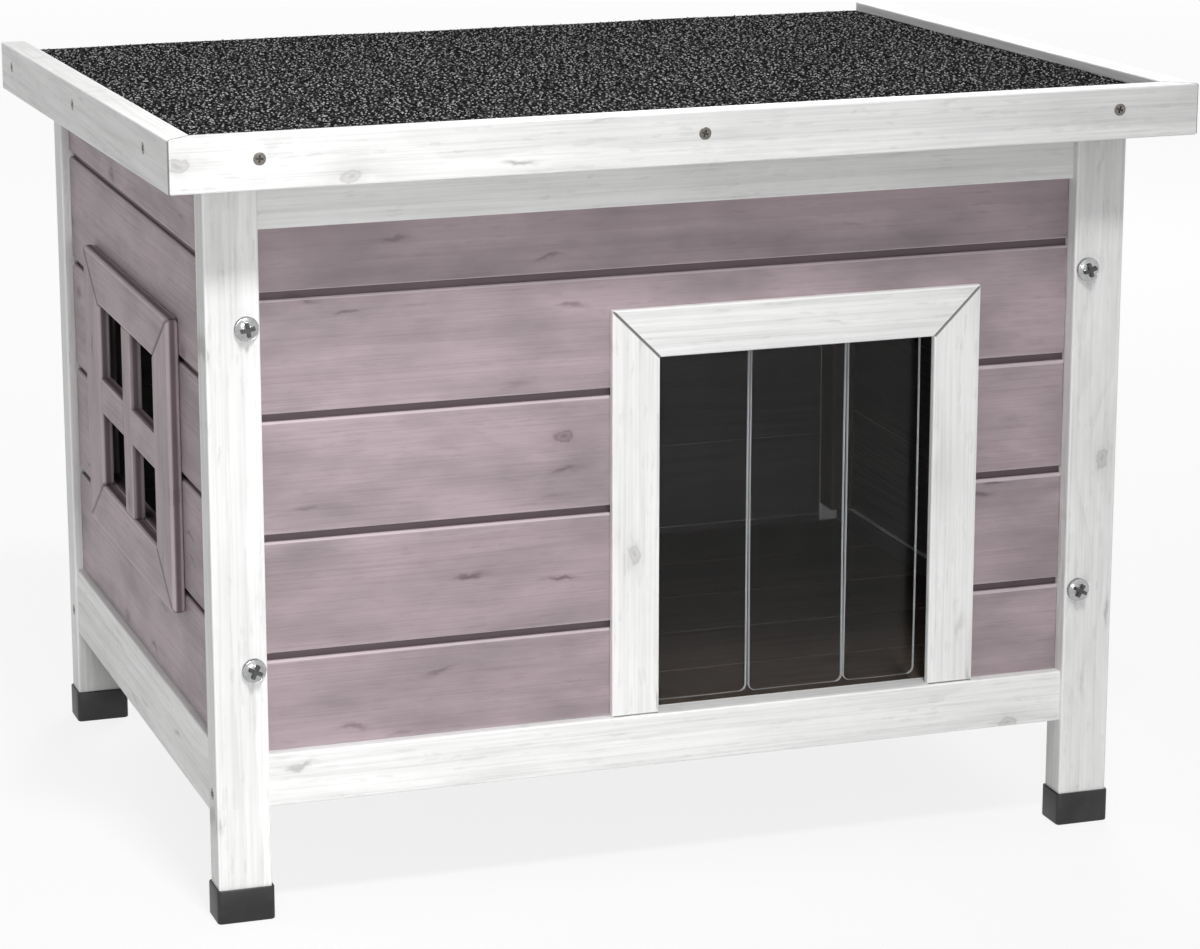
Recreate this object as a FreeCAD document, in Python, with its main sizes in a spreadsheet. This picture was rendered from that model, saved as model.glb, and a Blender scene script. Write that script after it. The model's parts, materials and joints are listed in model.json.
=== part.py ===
# Outdoor cat house: a boarded cabin on four capped posts, under a hinged felt roof.
# Millimetres. +Z is up, the door faces -Y, the window is in the -X wall.
# The origin is on the ground, under the middle of the roof.
import FreeCAD, Part
import os
import re
import Sketcher

SIZES = {
    # Roof: its plan, its highest edge, its fall towards the back, and its layers
    "roof_width": 570,
    "roof_depth": 450,
    "roof_height": 430,
    "roof_drop": 12.5,
    "fascia_thickness": 15,
    "fascia_height": 28,
    "fascia_lip": 5,
    "felt_thickness": 2,
    "deck_thickness": 9,
    "front_overhang": 35,
    "back_overhang": 27,
    "side_overhang": 25,
    "roof_seat_gap": 0.3,
    # Posts and the plastic caps on their feet
    "post_width": 29,
    "post_depth": 19,
    "post_arris": 1.2,
    "cap_wall": 1.2,
    "cap_floor": 3,
    "cap_height": 19,
    "cap_clearance": 0.1,
    # Rails: the front and back ones are flush with the inner faces of the posts.
    # The undersides of the top rails are measured down from the roof's highest edge.
    "rail_thickness": 16,
    "rail_arris": 1,
    "front_rail_bottom": 62,
    "front_rail_height": 29,
    "side_rail_recess": 1,
    "side_rail_bottom": 57,
    "side_rail_height": 41,
    "top_rail_thickness": 13,
    "top_rail_drop": 56,
    # Tongued and grooved planks: the front and back ones are flush with the inner faces of the posts
    "plank_thickness": 9,
    "side_plank_recess": 5,
    "front_bottom_row": 54,
    "front_top_row": 34,
    "side_bottom_row": 65,
    "side_top_row": 44,
    "joint_gap": 4.2,
    "joint_bevel": 1.2,
    "tongue_thickness": 3,
    "tongue_height": 8,
    "tongue_clearance": 0.3,
    # Corner battens that the bolts draw the posts against
    "batten_depth": 20,
    # Floor
    "floor_step": 4,
    "floor_thickness": 9,
    "floor_gap": 1,
    "floor_clearance": 0.5,
    "cleat_width": 20,
    "cleat_height": 16,
    # Door: its place is measured from the right post
    "door_margin": 81,
    "door_width": 160,
    "door_height": 200,
    "plank_reveal": 4,
    "casing_width": 27,
    "casing_thickness": 5,
    "flap_bar_height": 22,
    "flap_bar_thickness": 12,
    "flap_bar_overlap": 20,
    "strip_width": 56,
    "strip_thickness": 2,
    "strip_setback": 2,
    "strip_side_gap": 1.5,
    "strip_gap": 1,
    "strip_hang_gap": 0.3,
    "strip_sill_gap": 2,
    # Window: the opening starts and ends a step away from two joints of the side planks,
    # which are cut back behind the stiles of the frame
    "window_width": 142,
    "window_sill_step": 14,
    "window_head_step": 8,
    "window_stile": 38,
    "window_cut_back": 26,
    "window_rail": 28,
    "window_frame_thickness": 7,
    "muntin_width": 20,
    "muntin_thickness": 7,
    "muntin_recess": 0.5,
    # Fasteners: the low bolts are measured from the ground, the high ones down from the roof's highest edge
    "bore_clearance": 0.1,
    "bolt_low": 140,
    "bolt_drop": 106,
    "bolt_grip": 15,
    "bolt_shank_radius": 2.5,
    "bolt_head_radius": 6.5,
    "bolt_head_height": 3.4,
    "bolt_head_round": 2.2,
    "screw_shank_radius": 1.5,
    "screw_head_radius": 3.25,
    "screw_grip": 15,
    "rail_screw_rise": 8,
    "front_screw_inset": 47,
    "side_screw_front": 57,
    "side_screw_back": 32,
    # Roof hinges
    "hinge_spread": 150,
    "hinge_length": 50,
    "hinge_clearance": 0.3,
    "knuckle_radius": 3,
    "pin_radius": 1.5,
    "leaf_thickness": 1.2,
    "wall_leaf_height": 20,
    "roof_leaf_depth": 18,
    "hinge_screw_spread": 15,
    "hinge_screw_reach": 12,
    "hinge_screw_shank_radius": 1.25,
    "hinge_screw_head_radius": 2.4,
    "hinge_screw_grip": 6,
}
FLOOR_BOARDS = 5
NEAR = 0.001
SIDES = {"left": -1, "right": 1}

# Places worked out from the driving dimensions
POST_OUT = "(roof_width / 2 - side_overhang)"
POST_IN = f"({POST_OUT} - post_width)"
FRONT = "(front_overhang - roof_depth / 2)"
BACK = "(roof_depth / 2 - back_overhang)"
FRONT_POST_BACK = f"({FRONT} + post_depth)"
BACK_POST_FRONT = f"({BACK} - post_depth)"
FRONT_RAIL_TOP = "(front_rail_bottom + front_rail_height)"
SIDE_RAIL_TOP = "(side_rail_bottom + side_rail_height)"
TOP_RAIL_BOTTOM = "(roof_height - top_rail_drop)"
SIDE_RAIL_IN = f"({POST_OUT} - side_rail_recess - rail_thickness)"
SIDE_PLANK_OUT = f"({POST_OUT} - side_plank_recess)"
SIDE_PLANK_IN = f"({SIDE_PLANK_OUT} - plank_thickness)"
FRONT_PLANK_OUT = f"({FRONT_POST_BACK} - plank_thickness)"
BACK_PLANK_OUT = f"({BACK_POST_FRONT} + plank_thickness)"
FRONT_RAIL_OUT = f"({FRONT_POST_BACK} - rail_thickness)"
BACK_RAIL_OUT = f"({BACK_POST_FRONT} + rail_thickness)"
BOLT_X = f"(({SIDE_PLANK_IN} + {POST_IN}) / 2)"
BOLT_Z = ["bolt_low", "roof_height - bolt_drop"]
DECK_UNDER = "(fascia_lip + felt_thickness + deck_thickness)"
SLOPE = "atan(roof_drop / roof_depth)"

doc = FreeCAD.newDocument("CatHouse")
sheet = doc.addObject("Spreadsheet::Sheet", "Sizes")
for row, (alias, value) in enumerate(SIZES.items(), start=1):
    sheet.set(f"A{row}", alias)
    sheet.set(f"B{row}", str(value))
    sheet.setAlias(f"B{row}", alias)
doc.recompute()


def spelled(formula):
    """A formula of size names, with each name written as its cell in the sheet."""
    return re.sub(r"[a-z_]+", lambda word: f"Sizes.{word[0]}" if word[0] in SIZES else word[0], formula)


def tie(thing, path, formula):
    """Bind one property of a thing to a formula of the sizes."""
    thing.setExpression(path, spelled(formula))


def roof_z(y, below):
    """Height, at depth y, of the sloping plane that lies a given drop below the roof's top edges."""
    return f"(roof_height - ({below}) - roof_drop * (({y}) + roof_depth / 2) / roof_depth)"


def rectangle(low_u, high_u, low_v, high_v):
    return [(low_u, low_v), (high_u, low_v), (high_u, high_v), (low_u, high_v)]


def outline_sketch(body, plane, outline):
    """A closed outline of straight lines on one origin plane, each corner tied to its two formulas."""
    sketch = body.newObject("Sketcher::SketchObject", f"{body.Name}_outline")
    origin_plane = next(item for item in body.Origin.OriginFeatures if item.Role == plane)
    sketch.AttachmentSupport = [(origin_plane, "")]
    sketch.MapMode = "FlatFace"
    count = len(outline)
    corners = [FreeCAD.Vector(index, index ** 2, 0) for index in range(count)]
    for index in range(count):
        sketch.addGeometry(Part.LineSegment(corners[index], corners[(index + 1) % count]), False)
    for index in range(count):
        sketch.addConstraint(Sketcher.Constraint("Coincident", index, 2, (index + 1) % count, 1))
    for index, place in enumerate(outline):
        for direction, formula in zip(("DistanceX", "DistanceY"), place):
            number = sketch.addConstraint(Sketcher.Constraint(direction, -1, 1, index, 1, 1.0))
            tie(sketch, f"Constraints[{number}]", formula)
    return sketch


def prism(label, plane, outline, low, high):
    """An outline drawn on an origin plane and padded from low to high along the plane's normal."""
    body = doc.addObject("PartDesign::Body", label)
    pad = body.newObject("PartDesign::Pad", f"{body.Name}_pad")
    pad.Profile = outline_sketch(body, plane, outline)
    pad.SideType = "Symmetric"
    tie(pad, "Length", f"({high}) - ({low})")
    normal = {"YZ_Plane": "x", "XZ_Plane": "y", "XY_Plane": "z"}[plane]
    tie(body, f"Placement.Base.{normal}", f"(({high}) + ({low})) / 2")
    doc.recompute()
    return body


def block(label, along, x, y, z, arris=None):
    """A straight board between (low, high) on each axis, its long edges rounded where it has an arris."""
    if along == "x":
        body = prism(label, "YZ_Plane", rectangle(*y, *z), *x)
    elif along == "y":
        body = prism(label, "XZ_Plane", rectangle(*x, *z), *y)
    else:
        body = prism(label, "XY_Plane", rectangle(*x, *y), *z)
    if arris:
        round_edges(body, along, arris)
    return body


def round_edges(body, along, radius):
    """Round the edges of a body that run along one axis."""
    axis = {"x": FreeCAD.Vector(1, 0, 0), "y": FreeCAD.Vector(0, 1, 0), "z": FreeCAD.Vector(0, 0, 1)}[along]
    feature = body.Tip
    edges = feature.Shape.Edges
    names = [f"Edge{number}" for number, edge in enumerate(edges, start=1) if runs_along(edge, axis)]
    fillet = body.newObject("PartDesign::Fillet", f"{body.Name}_arris")
    fillet.Base = (feature, names)
    tie(fillet, "Radius", radius)
    doc.recompute()


def runs_along(edge, axis):
    start, end = (vertex.Point for vertex in edge.Vertexes)
    return (end - start).cross(axis).Length < NEAR


def rod(label, radius, low, high, y="0", z="0"):
    """A round bar along X."""
    bar = doc.addObject("Part::Cylinder", label)
    bar.Placement.Rotation = FreeCAD.Rotation(FreeCAD.Vector(0, 1, 0), 90)
    tie(bar, "Radius", radius)
    tie(bar, "Height", f"({high}) - ({low})")
    for axis, formula in (("x", low), ("y", y), ("z", z)):
        tie(bar, f"Placement.Base.{axis}", formula)
    return bar


def turned(label, outline):
    """An outline of (radius, height) corners turned round the Z axis."""
    body = doc.addObject("PartDesign::Body", label)
    turn = body.newObject("PartDesign::Revolution", f"{body.Name}_turn")
    sketch = outline_sketch(body, "XZ_Plane", outline)
    turn.Profile = sketch
    turn.ReferenceAxis = (sketch, ["V_Axis"])
    turn.Angle = 360
    doc.recompute()
    return body


def copy_at(master, x, y, z, facing=None, tilt=None):
    """A copy of a master piece at a place. A fastener's head faces along the named direction."""
    turns = {
        None: ((1, 0, 0), 0),
        "front": ((1, 0, 0), 90),
        "back": ((1, 0, 0), -90),
        "left": ((0, 1, 0), -90),
        "right": ((0, 1, 0), 90),
        "down": ((1, 0, 0), 180),
    }
    axis, angle = turns[facing]
    link = doc.addObject("App::Link", f"{master.Name}_copy")
    link.LinkedObject = master
    link.Placement.Rotation = FreeCAD.Rotation(FreeCAD.Vector(*axis), angle)
    for name, formula in (("x", x), ("y", y), ("z", z)):
        tie(link, f"Placement.Base.{name}", formula)
    if tilt:
        link.Placement.Rotation = FreeCAD.Rotation(FreeCAD.Vector(1, 0, 0), 1)
        tie(link, "Placement.Rotation.Angle", f"{angle} deg {tilt}")
    return link


def group(label, members):
    together = doc.addObject("Part::Compound", label)
    together.Links = members
    return together


def cut(label, base, tools):
    """A piece with one or more spaces taken out of it."""
    piece = doc.addObject("Part::Cut", label)
    piece.Base = base
    piece.Tool = tools[0] if len(tools) == 1 else group(f"{label}_spaces", tools)
    return piece


def fuse(label, members):
    piece = doc.addObject("Part::MultiFuse", label)
    piece.Shapes = members
    return piece


nodes = {}


def keep(name, piece):
    """Name a finished piece of the house."""
    piece.Label = name
    nodes[name] = piece


# Fasteners: each kind is one master piece, with the bore that it needs in wood
def countersunk(label, head_radius, shank_radius, length):
    """A countersunk wood screw with its head at Z = 0, and its bore."""
    solid = turned(label, [
        ("0", "0"),
        (head_radius, "0"),
        (shank_radius, f"-({head_radius} - {shank_radius})"),
        (shank_radius, f"-({length}) + {shank_radius}"),
        ("0", f"-({length})"),
    ])
    wide = f"({head_radius} + bore_clearance)"
    narrow = f"({shank_radius} + bore_clearance)"
    bore = turned(f"{label}_bore", [
        ("0", head_radius),
        (wide, head_radius),
        (wide, "0"),
        (narrow, f"-({head_radius} - {shank_radius})"),
        (narrow, f"-({length}) - bore_clearance"),
        ("0", f"-({length}) - bore_clearance"),
    ])
    return solid, bore


def pan_bolt(label, length):
    """A pan head bolt with the seat of its head at Z = 0, and the bore for its shank."""
    solid = turned(label, [
        ("0", "bolt_head_height"),
        ("bolt_head_radius", "bolt_head_height"),
        ("bolt_head_radius", "0"),
        ("bolt_shank_radius", "0"),
        ("bolt_shank_radius", f"-({length})"),
        ("0", f"-({length})"),
    ])
    feature = solid.Tip
    top = feature.Shape.BoundBox.ZMax
    edges = feature.Shape.Edges
    rim = [f"Edge{number}" for number, edge in enumerate(edges, start=1) if edge.BoundBox.ZMin > top - NEAR]
    rounding = solid.newObject("PartDesign::Fillet", f"{label}_crown")
    rounding.Base = (feature, rim)
    tie(rounding, "Radius", "bolt_head_round")
    doc.recompute()
    bore = turned(f"{label}_bore", rectangle(
        "0", "bolt_shank_radius + bore_clearance", f"-({length}) - bore_clearance", "bolt_head_height"))
    return solid, bore


bolt, bolt_bore = pan_bolt("bolt", "post_depth + bolt_grip")
rail_screw, rail_screw_bore = countersunk(
    "rail_screw", "screw_head_radius", "screw_shank_radius", "post_width + screw_grip")
fascia_screw, fascia_screw_bore = countersunk(
    "fascia_screw", "screw_head_radius", "screw_shank_radius", "fascia_thickness + screw_grip")
hinge_screw, hinge_screw_bore = countersunk(
    "hinge_screw", "hinge_screw_head_radius", "hinge_screw_shank_radius", "leaf_thickness + hinge_screw_grip")

# Everything above the seat of the roof is cut from what carries the roof
roof_edge = "roof_depth / 2"
above_seat = prism("above_seat", "YZ_Plane", [
    (f"-{roof_edge}", roof_z(f"-{roof_edge}", f"{DECK_UNDER} + roof_seat_gap")),
    (roof_edge, roof_z(roof_edge, f"{DECK_UNDER} + roof_seat_gap")),
    (roof_edge, "roof_height + fascia_height"),
    (f"-{roof_edge}", "roof_height + fascia_height"),
], "-roof_width / 2", "roof_width / 2")

# Places of the bolts and of the screws in the ends of the front and back rails
WALL_ENDS = {
    "front": {
        "face": FRONT,
        "near": FRONT,
        "far": FRONT_POST_BACK,
        "rail": f"({FRONT_RAIL_OUT} + rail_thickness / 2)",
    },
    "back": {
        "face": BACK,
        "near": BACK_POST_FRONT,
        "far": BACK,
        "rail": f"({BACK_RAIL_OUT} - rail_thickness / 2)",
    },
}


def bolts_at(master, end, sign):
    x = f"{sign} * {BOLT_X}"
    face = WALL_ENDS[end]["face"]
    return [copy_at(master, x, face, height, facing=end) for height in BOLT_Z]


def rail_screw_at(master, end, side):
    height = "front_rail_bottom + rail_screw_rise"
    return copy_at(master, f"{SIDES[side]} * {POST_OUT}", WALL_ENDS[end]["rail"], height, facing=side)


def span(sign, low, high):
    """A span measured outwards from the middle plane, on the left (-1) or the right (1)."""
    return (low, high) if sign > 0 else (f"-({high})", f"-({low})")


# Posts and corner battens
battens = []
for end, place in WALL_ENDS.items():
    for side, sign in SIDES.items():
        blank = block(f"post_{end}_{side}_blank", "z", span(sign, POST_IN, POST_OUT),
                      (place["near"], place["far"]), ("cap_floor", "roof_height"), arris="post_arris")
        spaces = [above_seat, *bolts_at(bolt_bore, end, sign), rail_screw_at(rail_screw_bore, end, side)]
        keep(f"post_{end}_{side}", cut(f"post_{end}_{side}", blank, spaces))
        if end == "front":
            depth = (FRONT_POST_BACK, f"{FRONT_POST_BACK} + batten_depth")
        else:
            depth = (f"{BACK_POST_FRONT} - batten_depth", BACK_POST_FRONT)
        blank = block(f"batten_{end}_{side}_blank", "z", span(sign, POST_IN, SIDE_PLANK_IN), depth,
                      (SIDE_RAIL_TOP, "roof_height"))
        spaces = [above_seat, *bolts_at(bolt_bore, end, sign)]
        battens.append(cut(f"batten_{end}_{side}", blank, spaces))
keep("corner_battens", group("corner_battens", battens))
keep("frame_bolts", group("frame_bolts", [
    copy for end in WALL_ENDS for sign in SIDES.values() for copy in bolts_at(bolt, end, sign)]))
keep("rail_screws", group("rail_screws", [
    rail_screw_at(rail_screw, end, side) for end in WALL_ENDS for side in SIDES]))

# Leg caps: plastic cups pushed on the feet of the posts
cap_inner = block("cap_inner", "z", ("-post_width / 2 - cap_clearance", "post_width / 2 + cap_clearance"),
                  ("-post_depth / 2 - cap_clearance", "post_depth / 2 + cap_clearance"),
                  ("cap_floor", "cap_height + cap_floor"), arris="post_arris")
cap_side = "(post_width / 2 + cap_clearance + cap_wall)"
cap_end = "(post_depth / 2 + cap_clearance + cap_wall)"
cap_outer = block("cap_outer", "z", (f"-{cap_side}", cap_side), (f"-{cap_end}", cap_end),
                  ("0", "cap_height"), arris="post_arris + cap_wall")
cap = cut("cap", cap_outer, [cap_inner])
keep("leg_caps", group("leg_caps", [
    copy_at(cap, f"{sign} * ({POST_OUT} - post_width / 2)", f"({place['near']} + {place['far']}) / 2", "0")
    for place in WALL_ENDS.values() for sign in SIDES.values()]))

# Rails between the posts
between_posts = (f"-{POST_IN}", POST_IN)
rail_depths = {
    "front": (FRONT_RAIL_OUT, FRONT_POST_BACK),
    "back": (BACK_POST_FRONT, BACK_RAIL_OUT),
}
top_rail_depths = {
    "front": (f"{FRONT_POST_BACK} - top_rail_thickness", FRONT_POST_BACK),
    "back": (f"{BACK} - top_rail_thickness", BACK),
}
for end in WALL_ENDS:
    blank = block(f"{end}_bottom_rail_blank", "x", between_posts, rail_depths[end],
                  ("front_rail_bottom", FRONT_RAIL_TOP), arris="rail_arris")
    spaces = [rail_screw_at(rail_screw_bore, end, side) for side in SIDES]
    keep(f"{end}_bottom_rail", cut(f"{end}_bottom_rail", blank, spaces))
for side, sign in SIDES.items():
    keep(f"{side}_bottom_rail", block(
        f"{side}_bottom_rail", "y", span(sign, SIDE_RAIL_IN, f"{SIDE_RAIL_IN} + rail_thickness"),
        (FRONT_POST_BACK, BACK_POST_FRONT), ("side_rail_bottom", SIDE_RAIL_TOP), arris="rail_arris"))

# Roof hinges: the pin runs along X behind the back wall, just under the deck
PIN_REACH = "(knuckle_radius + hinge_clearance)"
PIN_Y = f"({BACK} + {PIN_REACH})"
PIN_Z = f"({roof_z(PIN_Y, DECK_UNDER)} - {PIN_REACH} / cos({SLOPE}))"
HINGE_X = [f"{sign} * hinge_spread" for sign in SIDES.values()]
SCREW_X = [f"{sign} * hinge_screw_spread" for sign in SIDES.values()]
half_hinge = "hinge_length / 2"
third = "hinge_length / 6"
middle_knuckle = (f"-{third}", third)
middle_notch = (f"-{third} - hinge_clearance", f"{third} + hinge_clearance")
outer_knuckles = [(f"-{half_hinge}", middle_notch[0]), (middle_notch[1], half_hinge)]
outer_notches = [(f"-{half_hinge}", middle_knuckle[0]), (middle_knuckle[1], half_hinge)]


def hinge_leaf(label, plate, own_knuckles, other_knuckles, screw_bores):
    """A leaf with its knuckles, notched round the other leaf's knuckles and bored for pin and screws."""
    knuckles = [rod(f"{label}_knuckle", "knuckle_radius", *ends) for ends in own_knuckles]
    notches = [rod(f"{label}_notch", PIN_REACH, *ends) for ends in other_knuckles]
    pin_bore = rod(f"{label}_pin_bore", "pin_radius + bore_clearance", f"-{half_hinge}", half_hinge)
    notched = cut(f"{label}_notched", plate, notches)
    return cut(label, fuse(f"{label}_whole", [notched, *knuckles]), [pin_bore, *screw_bores])


def hinge_screw_spots(facing):
    """Places of a leaf's screws about its pin."""
    if facing == "back":
        return [(x, f"-{PIN_REACH} + leaf_thickness", "-hinge_screw_reach") for x in SCREW_X]
    return [(x, "hinge_screw_reach", f"{PIN_REACH} - leaf_thickness") for x in SCREW_X]


def hinge_screws_at(master, facing):
    """Hinge screws in the house: those of the roof leaves lean with the roof."""
    copies = []
    for hinge in HINGE_X:
        for x, y, z in hinge_screw_spots(facing):
            if facing == "back":
                copies.append(copy_at(master, f"{hinge} + {x}", f"{PIN_Y} + {y}", f"{PIN_Z} + {z}", facing))
            else:
                leaned_y = f"{PIN_Y} + ({y}) * cos({SLOPE}) + ({z}) * sin({SLOPE})"
                leaned_z = f"{PIN_Z} - ({y}) * sin({SLOPE}) + ({z}) * cos({SLOPE})"
                copies.append(copy_at(master, f"{hinge} + {x}", leaned_y, leaned_z, facing, f"-{SLOPE}"))
    return copies


wall_plate = block("wall_plate", "x", (f"-{half_hinge}", half_hinge),
                   (f"-{PIN_REACH}", f"-{PIN_REACH} + leaf_thickness"), ("-wall_leaf_height", "0"))
roof_plate = block("roof_plate", "x", (f"-{half_hinge}", half_hinge),
                   ("0", "roof_leaf_depth"), (f"{PIN_REACH} - leaf_thickness", PIN_REACH))
wall_leaf = hinge_leaf("wall_leaf", wall_plate, outer_knuckles, [middle_notch],
                       [copy_at(hinge_screw_bore, *spot, "back") for spot in hinge_screw_spots("back")])
roof_leaf = hinge_leaf("roof_leaf", roof_plate, [middle_knuckle], outer_notches,
                       [copy_at(hinge_screw_bore, *spot, "down") for spot in hinge_screw_spots("down")])
pin = rod("pin", "pin_radius", f"-{half_hinge}", half_hinge)
keep("hinge_wall_leaves", group("hinge_wall_leaves", [copy_at(wall_leaf, x, PIN_Y, PIN_Z) for x in HINGE_X]))
keep("hinge_pins", group("hinge_pins", [copy_at(pin, x, PIN_Y, PIN_Z, facing="right") for x in HINGE_X]))
keep("hinge_roof_leaves", group("hinge_roof_leaves", [
    copy_at(roof_leaf, x, PIN_Y, PIN_Z, tilt=f"-{SLOPE}") for x in HINGE_X]))
keep("hinge_wall_screws", group("hinge_wall_screws", hinge_screws_at(hinge_screw, "back")))
keep("hinge_roof_screws", group("hinge_roof_screws", hinge_screws_at(hinge_screw, "down")))

# Top rails: the back one carries the hinges
for end in WALL_ENDS:
    blank = block(f"{end}_top_rail_blank", "x", between_posts, top_rail_depths[end],
                  (TOP_RAIL_BOTTOM, "roof_height"), arris="rail_arris")
    spaces = [above_seat]
    if end == "back":
        spaces += hinge_screws_at(hinge_screw_bore, "back")
    keep(f"{end}_top_rail", cut(f"{end}_top_rail", blank, spaces))

# Walls: five rows of planks, each fitted over the tongue and standing on the inner shoulder of the row below
ROWS = ["bottom", "lower", "middle", "upper", "top"]
DOOR_RIGHT = f"({POST_IN} - door_margin)"
DOOR_LEFT = f"({DOOR_RIGHT} - door_width)"
DOOR_TOP = f"({FRONT_RAIL_TOP} + door_height)"
MID_Y = f"(({FRONT_POST_BACK} + {BACK_POST_FRONT}) / 2)"
FRONT_EDGES = (FRONT_RAIL_TOP, f"({FRONT_RAIL_TOP} + front_bottom_row)",
               f"({TOP_RAIL_BOTTOM} - front_top_row)", TOP_RAIL_BOTTOM)
SIDE_EDGES = (SIDE_RAIL_TOP, f"({SIDE_RAIL_TOP} + side_bottom_row)",
              f"({roof_z(BACK, f'{DECK_UNDER} + roof_seat_gap')} - side_top_row)", "roof_height")


def row_edges(edges):
    """Low and high edges of each row: the three rows between the bottom and the top one are alike."""
    low, first_joint, last_joint, high = edges
    middle_rows = len(ROWS) - 2
    rise = f"({last_joint} - {first_joint}) / {middle_rows}"
    joints = [f"({first_joint} + {number} * {rise})" for number in range(middle_rows + 1)]
    levels = [low, *joints, high]
    return {row: (levels[index], levels[index + 1]) for index, row in enumerate(ROWS)}


def plank_section(face, inward, row, low, high):
    """Section of a plank as (depth, height) corners, from its outer face at `face` inwards."""
    def at(depth):
        return f"({face} + {inward} * ({depth}))"

    outer_cheek = "(plank_thickness - tongue_thickness) / 2"
    inner_cheek = "(plank_thickness + tongue_thickness) / 2"
    section = [(at("0"), low)]
    if row == "top":
        section += [(at("0"), high), (at("plank_thickness"), high)]
    else:
        shoulder = f"({high} - joint_gap)"
        tongue_top = f"({shoulder} + tongue_height)"
        section += [
            (at("0"), f"({shoulder} - joint_bevel)"),
            (at("joint_bevel"), shoulder),
            (at(outer_cheek), shoulder),
            (at(outer_cheek), tongue_top),
            (at(inner_cheek), tongue_top),
            (at(inner_cheek), high),
            (at("plank_thickness"), high),
        ]
    section.append((at("plank_thickness"), low))
    if row != "bottom":
        groove_top = f"({low} - joint_gap + tongue_height + tongue_clearance)"
        inner_groove = f"{inner_cheek} + tongue_clearance"
        outer_groove = f"{outer_cheek} - tongue_clearance"
        section += [
            (at(inner_groove), low),
            (at(inner_groove), groove_top),
            (at(outer_groove), groove_top),
            (at(outer_groove), low),
        ]
    return section


def front_plank(label, row, x, face=FRONT_PLANK_OUT, inward=1):
    section = plank_section(face, inward, row, *row_edges(FRONT_EDGES)[row])
    return prism(label, "YZ_Plane", section, *x)


def side_plank(label, row, sign):
    section = plank_section(f"{sign} * {SIDE_PLANK_OUT}", -sign, row, *row_edges(SIDE_EDGES)[row])
    return prism(label, "XZ_Plane", section, FRONT_POST_BACK, BACK_POST_FRONT)


left_of_door = (f"-{POST_IN}", f"{DOOR_LEFT} - plank_reveal")
right_of_door = (f"{DOOR_RIGHT} + plank_reveal", POST_IN)
for row in ("bottom", "lower", "middle"):
    keep(f"front_plank_{row}_left", front_plank(f"front_plank_{row}_left", row, left_of_door))
    keep(f"front_plank_{row}_right", front_plank(f"front_plank_{row}_right", row, right_of_door))
door_space = block("door_space", "y", (left_of_door[1], right_of_door[0]), (FRONT, FRONT_POST_BACK),
                   (FRONT_RAIL_TOP, f"{DOOR_TOP} + plank_reveal"))
upper_blank = front_plank("front_plank_upper_blank", "upper", between_posts)
keep("front_plank_upper", cut("front_plank_upper", upper_blank, [door_space]))
keep("front_plank_top", front_plank("front_plank_top", "top", between_posts))
keep("back_planks", group("back_planks", [
    front_plank(f"back_plank_{row}", row, between_posts, face=BACK_PLANK_OUT, inward=-1)
    for row in ROWS]))

WINDOW_Y = (f"({MID_Y} - window_width / 2)", f"({MID_Y} + window_width / 2)")
SIDE_ROWS = row_edges(SIDE_EDGES)
WINDOW_Z = (f"({SIDE_ROWS['lower'][0]} + window_sill_step)", f"({SIDE_ROWS['middle'][1]} - window_head_step)")
behind_stiles = (f"{WINDOW_Y[0]} - window_cut_back", f"{WINDOW_Y[1]} + window_cut_back")
window_space = block("window_space", "x", (f"-{POST_OUT}", f"-{POST_IN}"), behind_stiles, WINDOW_Z)
for side, sign in SIDES.items():
    for row in ROWS:
        name = f"{side}_plank_{row}"
        if row == "top":
            plank = cut(name, side_plank(f"{name}_blank", row, sign), [above_seat])
        elif side == "left" and row in ("lower", "middle"):
            plank = cut(name, side_plank(f"{name}_blank", row, sign), [window_space])
        else:
            plank = side_plank(name, row, sign)
        keep(name, plank)

# Window: a mitred frame on the planks, with a halved cross of muntins in it
frame_y = (f"({WINDOW_Y[0]} - window_stile)", f"({WINDOW_Y[1]} + window_stile)")
frame_z = (f"({WINDOW_Z[0]} - window_rail)", f"({WINDOW_Z[1]} + window_rail)")
inner_corners = rectangle(*WINDOW_Y, *WINDOW_Z)
outer_corners = rectangle(*frame_y, *frame_z)
frame_x = (f"-({SIDE_PLANK_OUT} + window_frame_thickness)", f"-{SIDE_PLANK_OUT}")
for index, part in enumerate(("bottom", "back", "top", "front")):
    following = (index + 1) % len(outer_corners)
    mitred = [outer_corners[index], outer_corners[following], inner_corners[following], inner_corners[index]]
    keep(f"window_frame_{part}", prism(f"window_frame_{part}", "YZ_Plane", mitred, *frame_x))

muntin_out = f"({frame_x[0]} + muntin_recess)"
muntin_lap = f"({muntin_out} + muntin_thickness / 2)"
muntin_in = f"({muntin_out} + muntin_thickness)"
upright_y = (f"{MID_Y} - muntin_width / 2", f"{MID_Y} + muntin_width / 2")
WINDOW_MID = f"(({WINDOW_Z[0]} + {WINDOW_Z[1]}) / 2)"
bar_z = (f"{WINDOW_MID} - muntin_width / 2", f"{WINDOW_MID} + muntin_width / 2")
upright = block("muntin_upright_blank", "z", (muntin_out, muntin_in), upright_y, WINDOW_Z)
crossbar = block("muntin_crossbar_blank", "y", (muntin_out, muntin_in), WINDOW_Y, bar_z)
upright_lap = block("upright_lap", "x", (muntin_lap, muntin_in), upright_y, bar_z)
crossbar_lap = block("crossbar_lap", "x", (muntin_out, muntin_lap), upright_y, bar_z)
keep("window_muntin_upright", cut("window_muntin_upright", upright, [upright_lap]))
keep("window_muntin_crossbar", cut("window_muntin_crossbar", crossbar, [crossbar_lap]))

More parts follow.
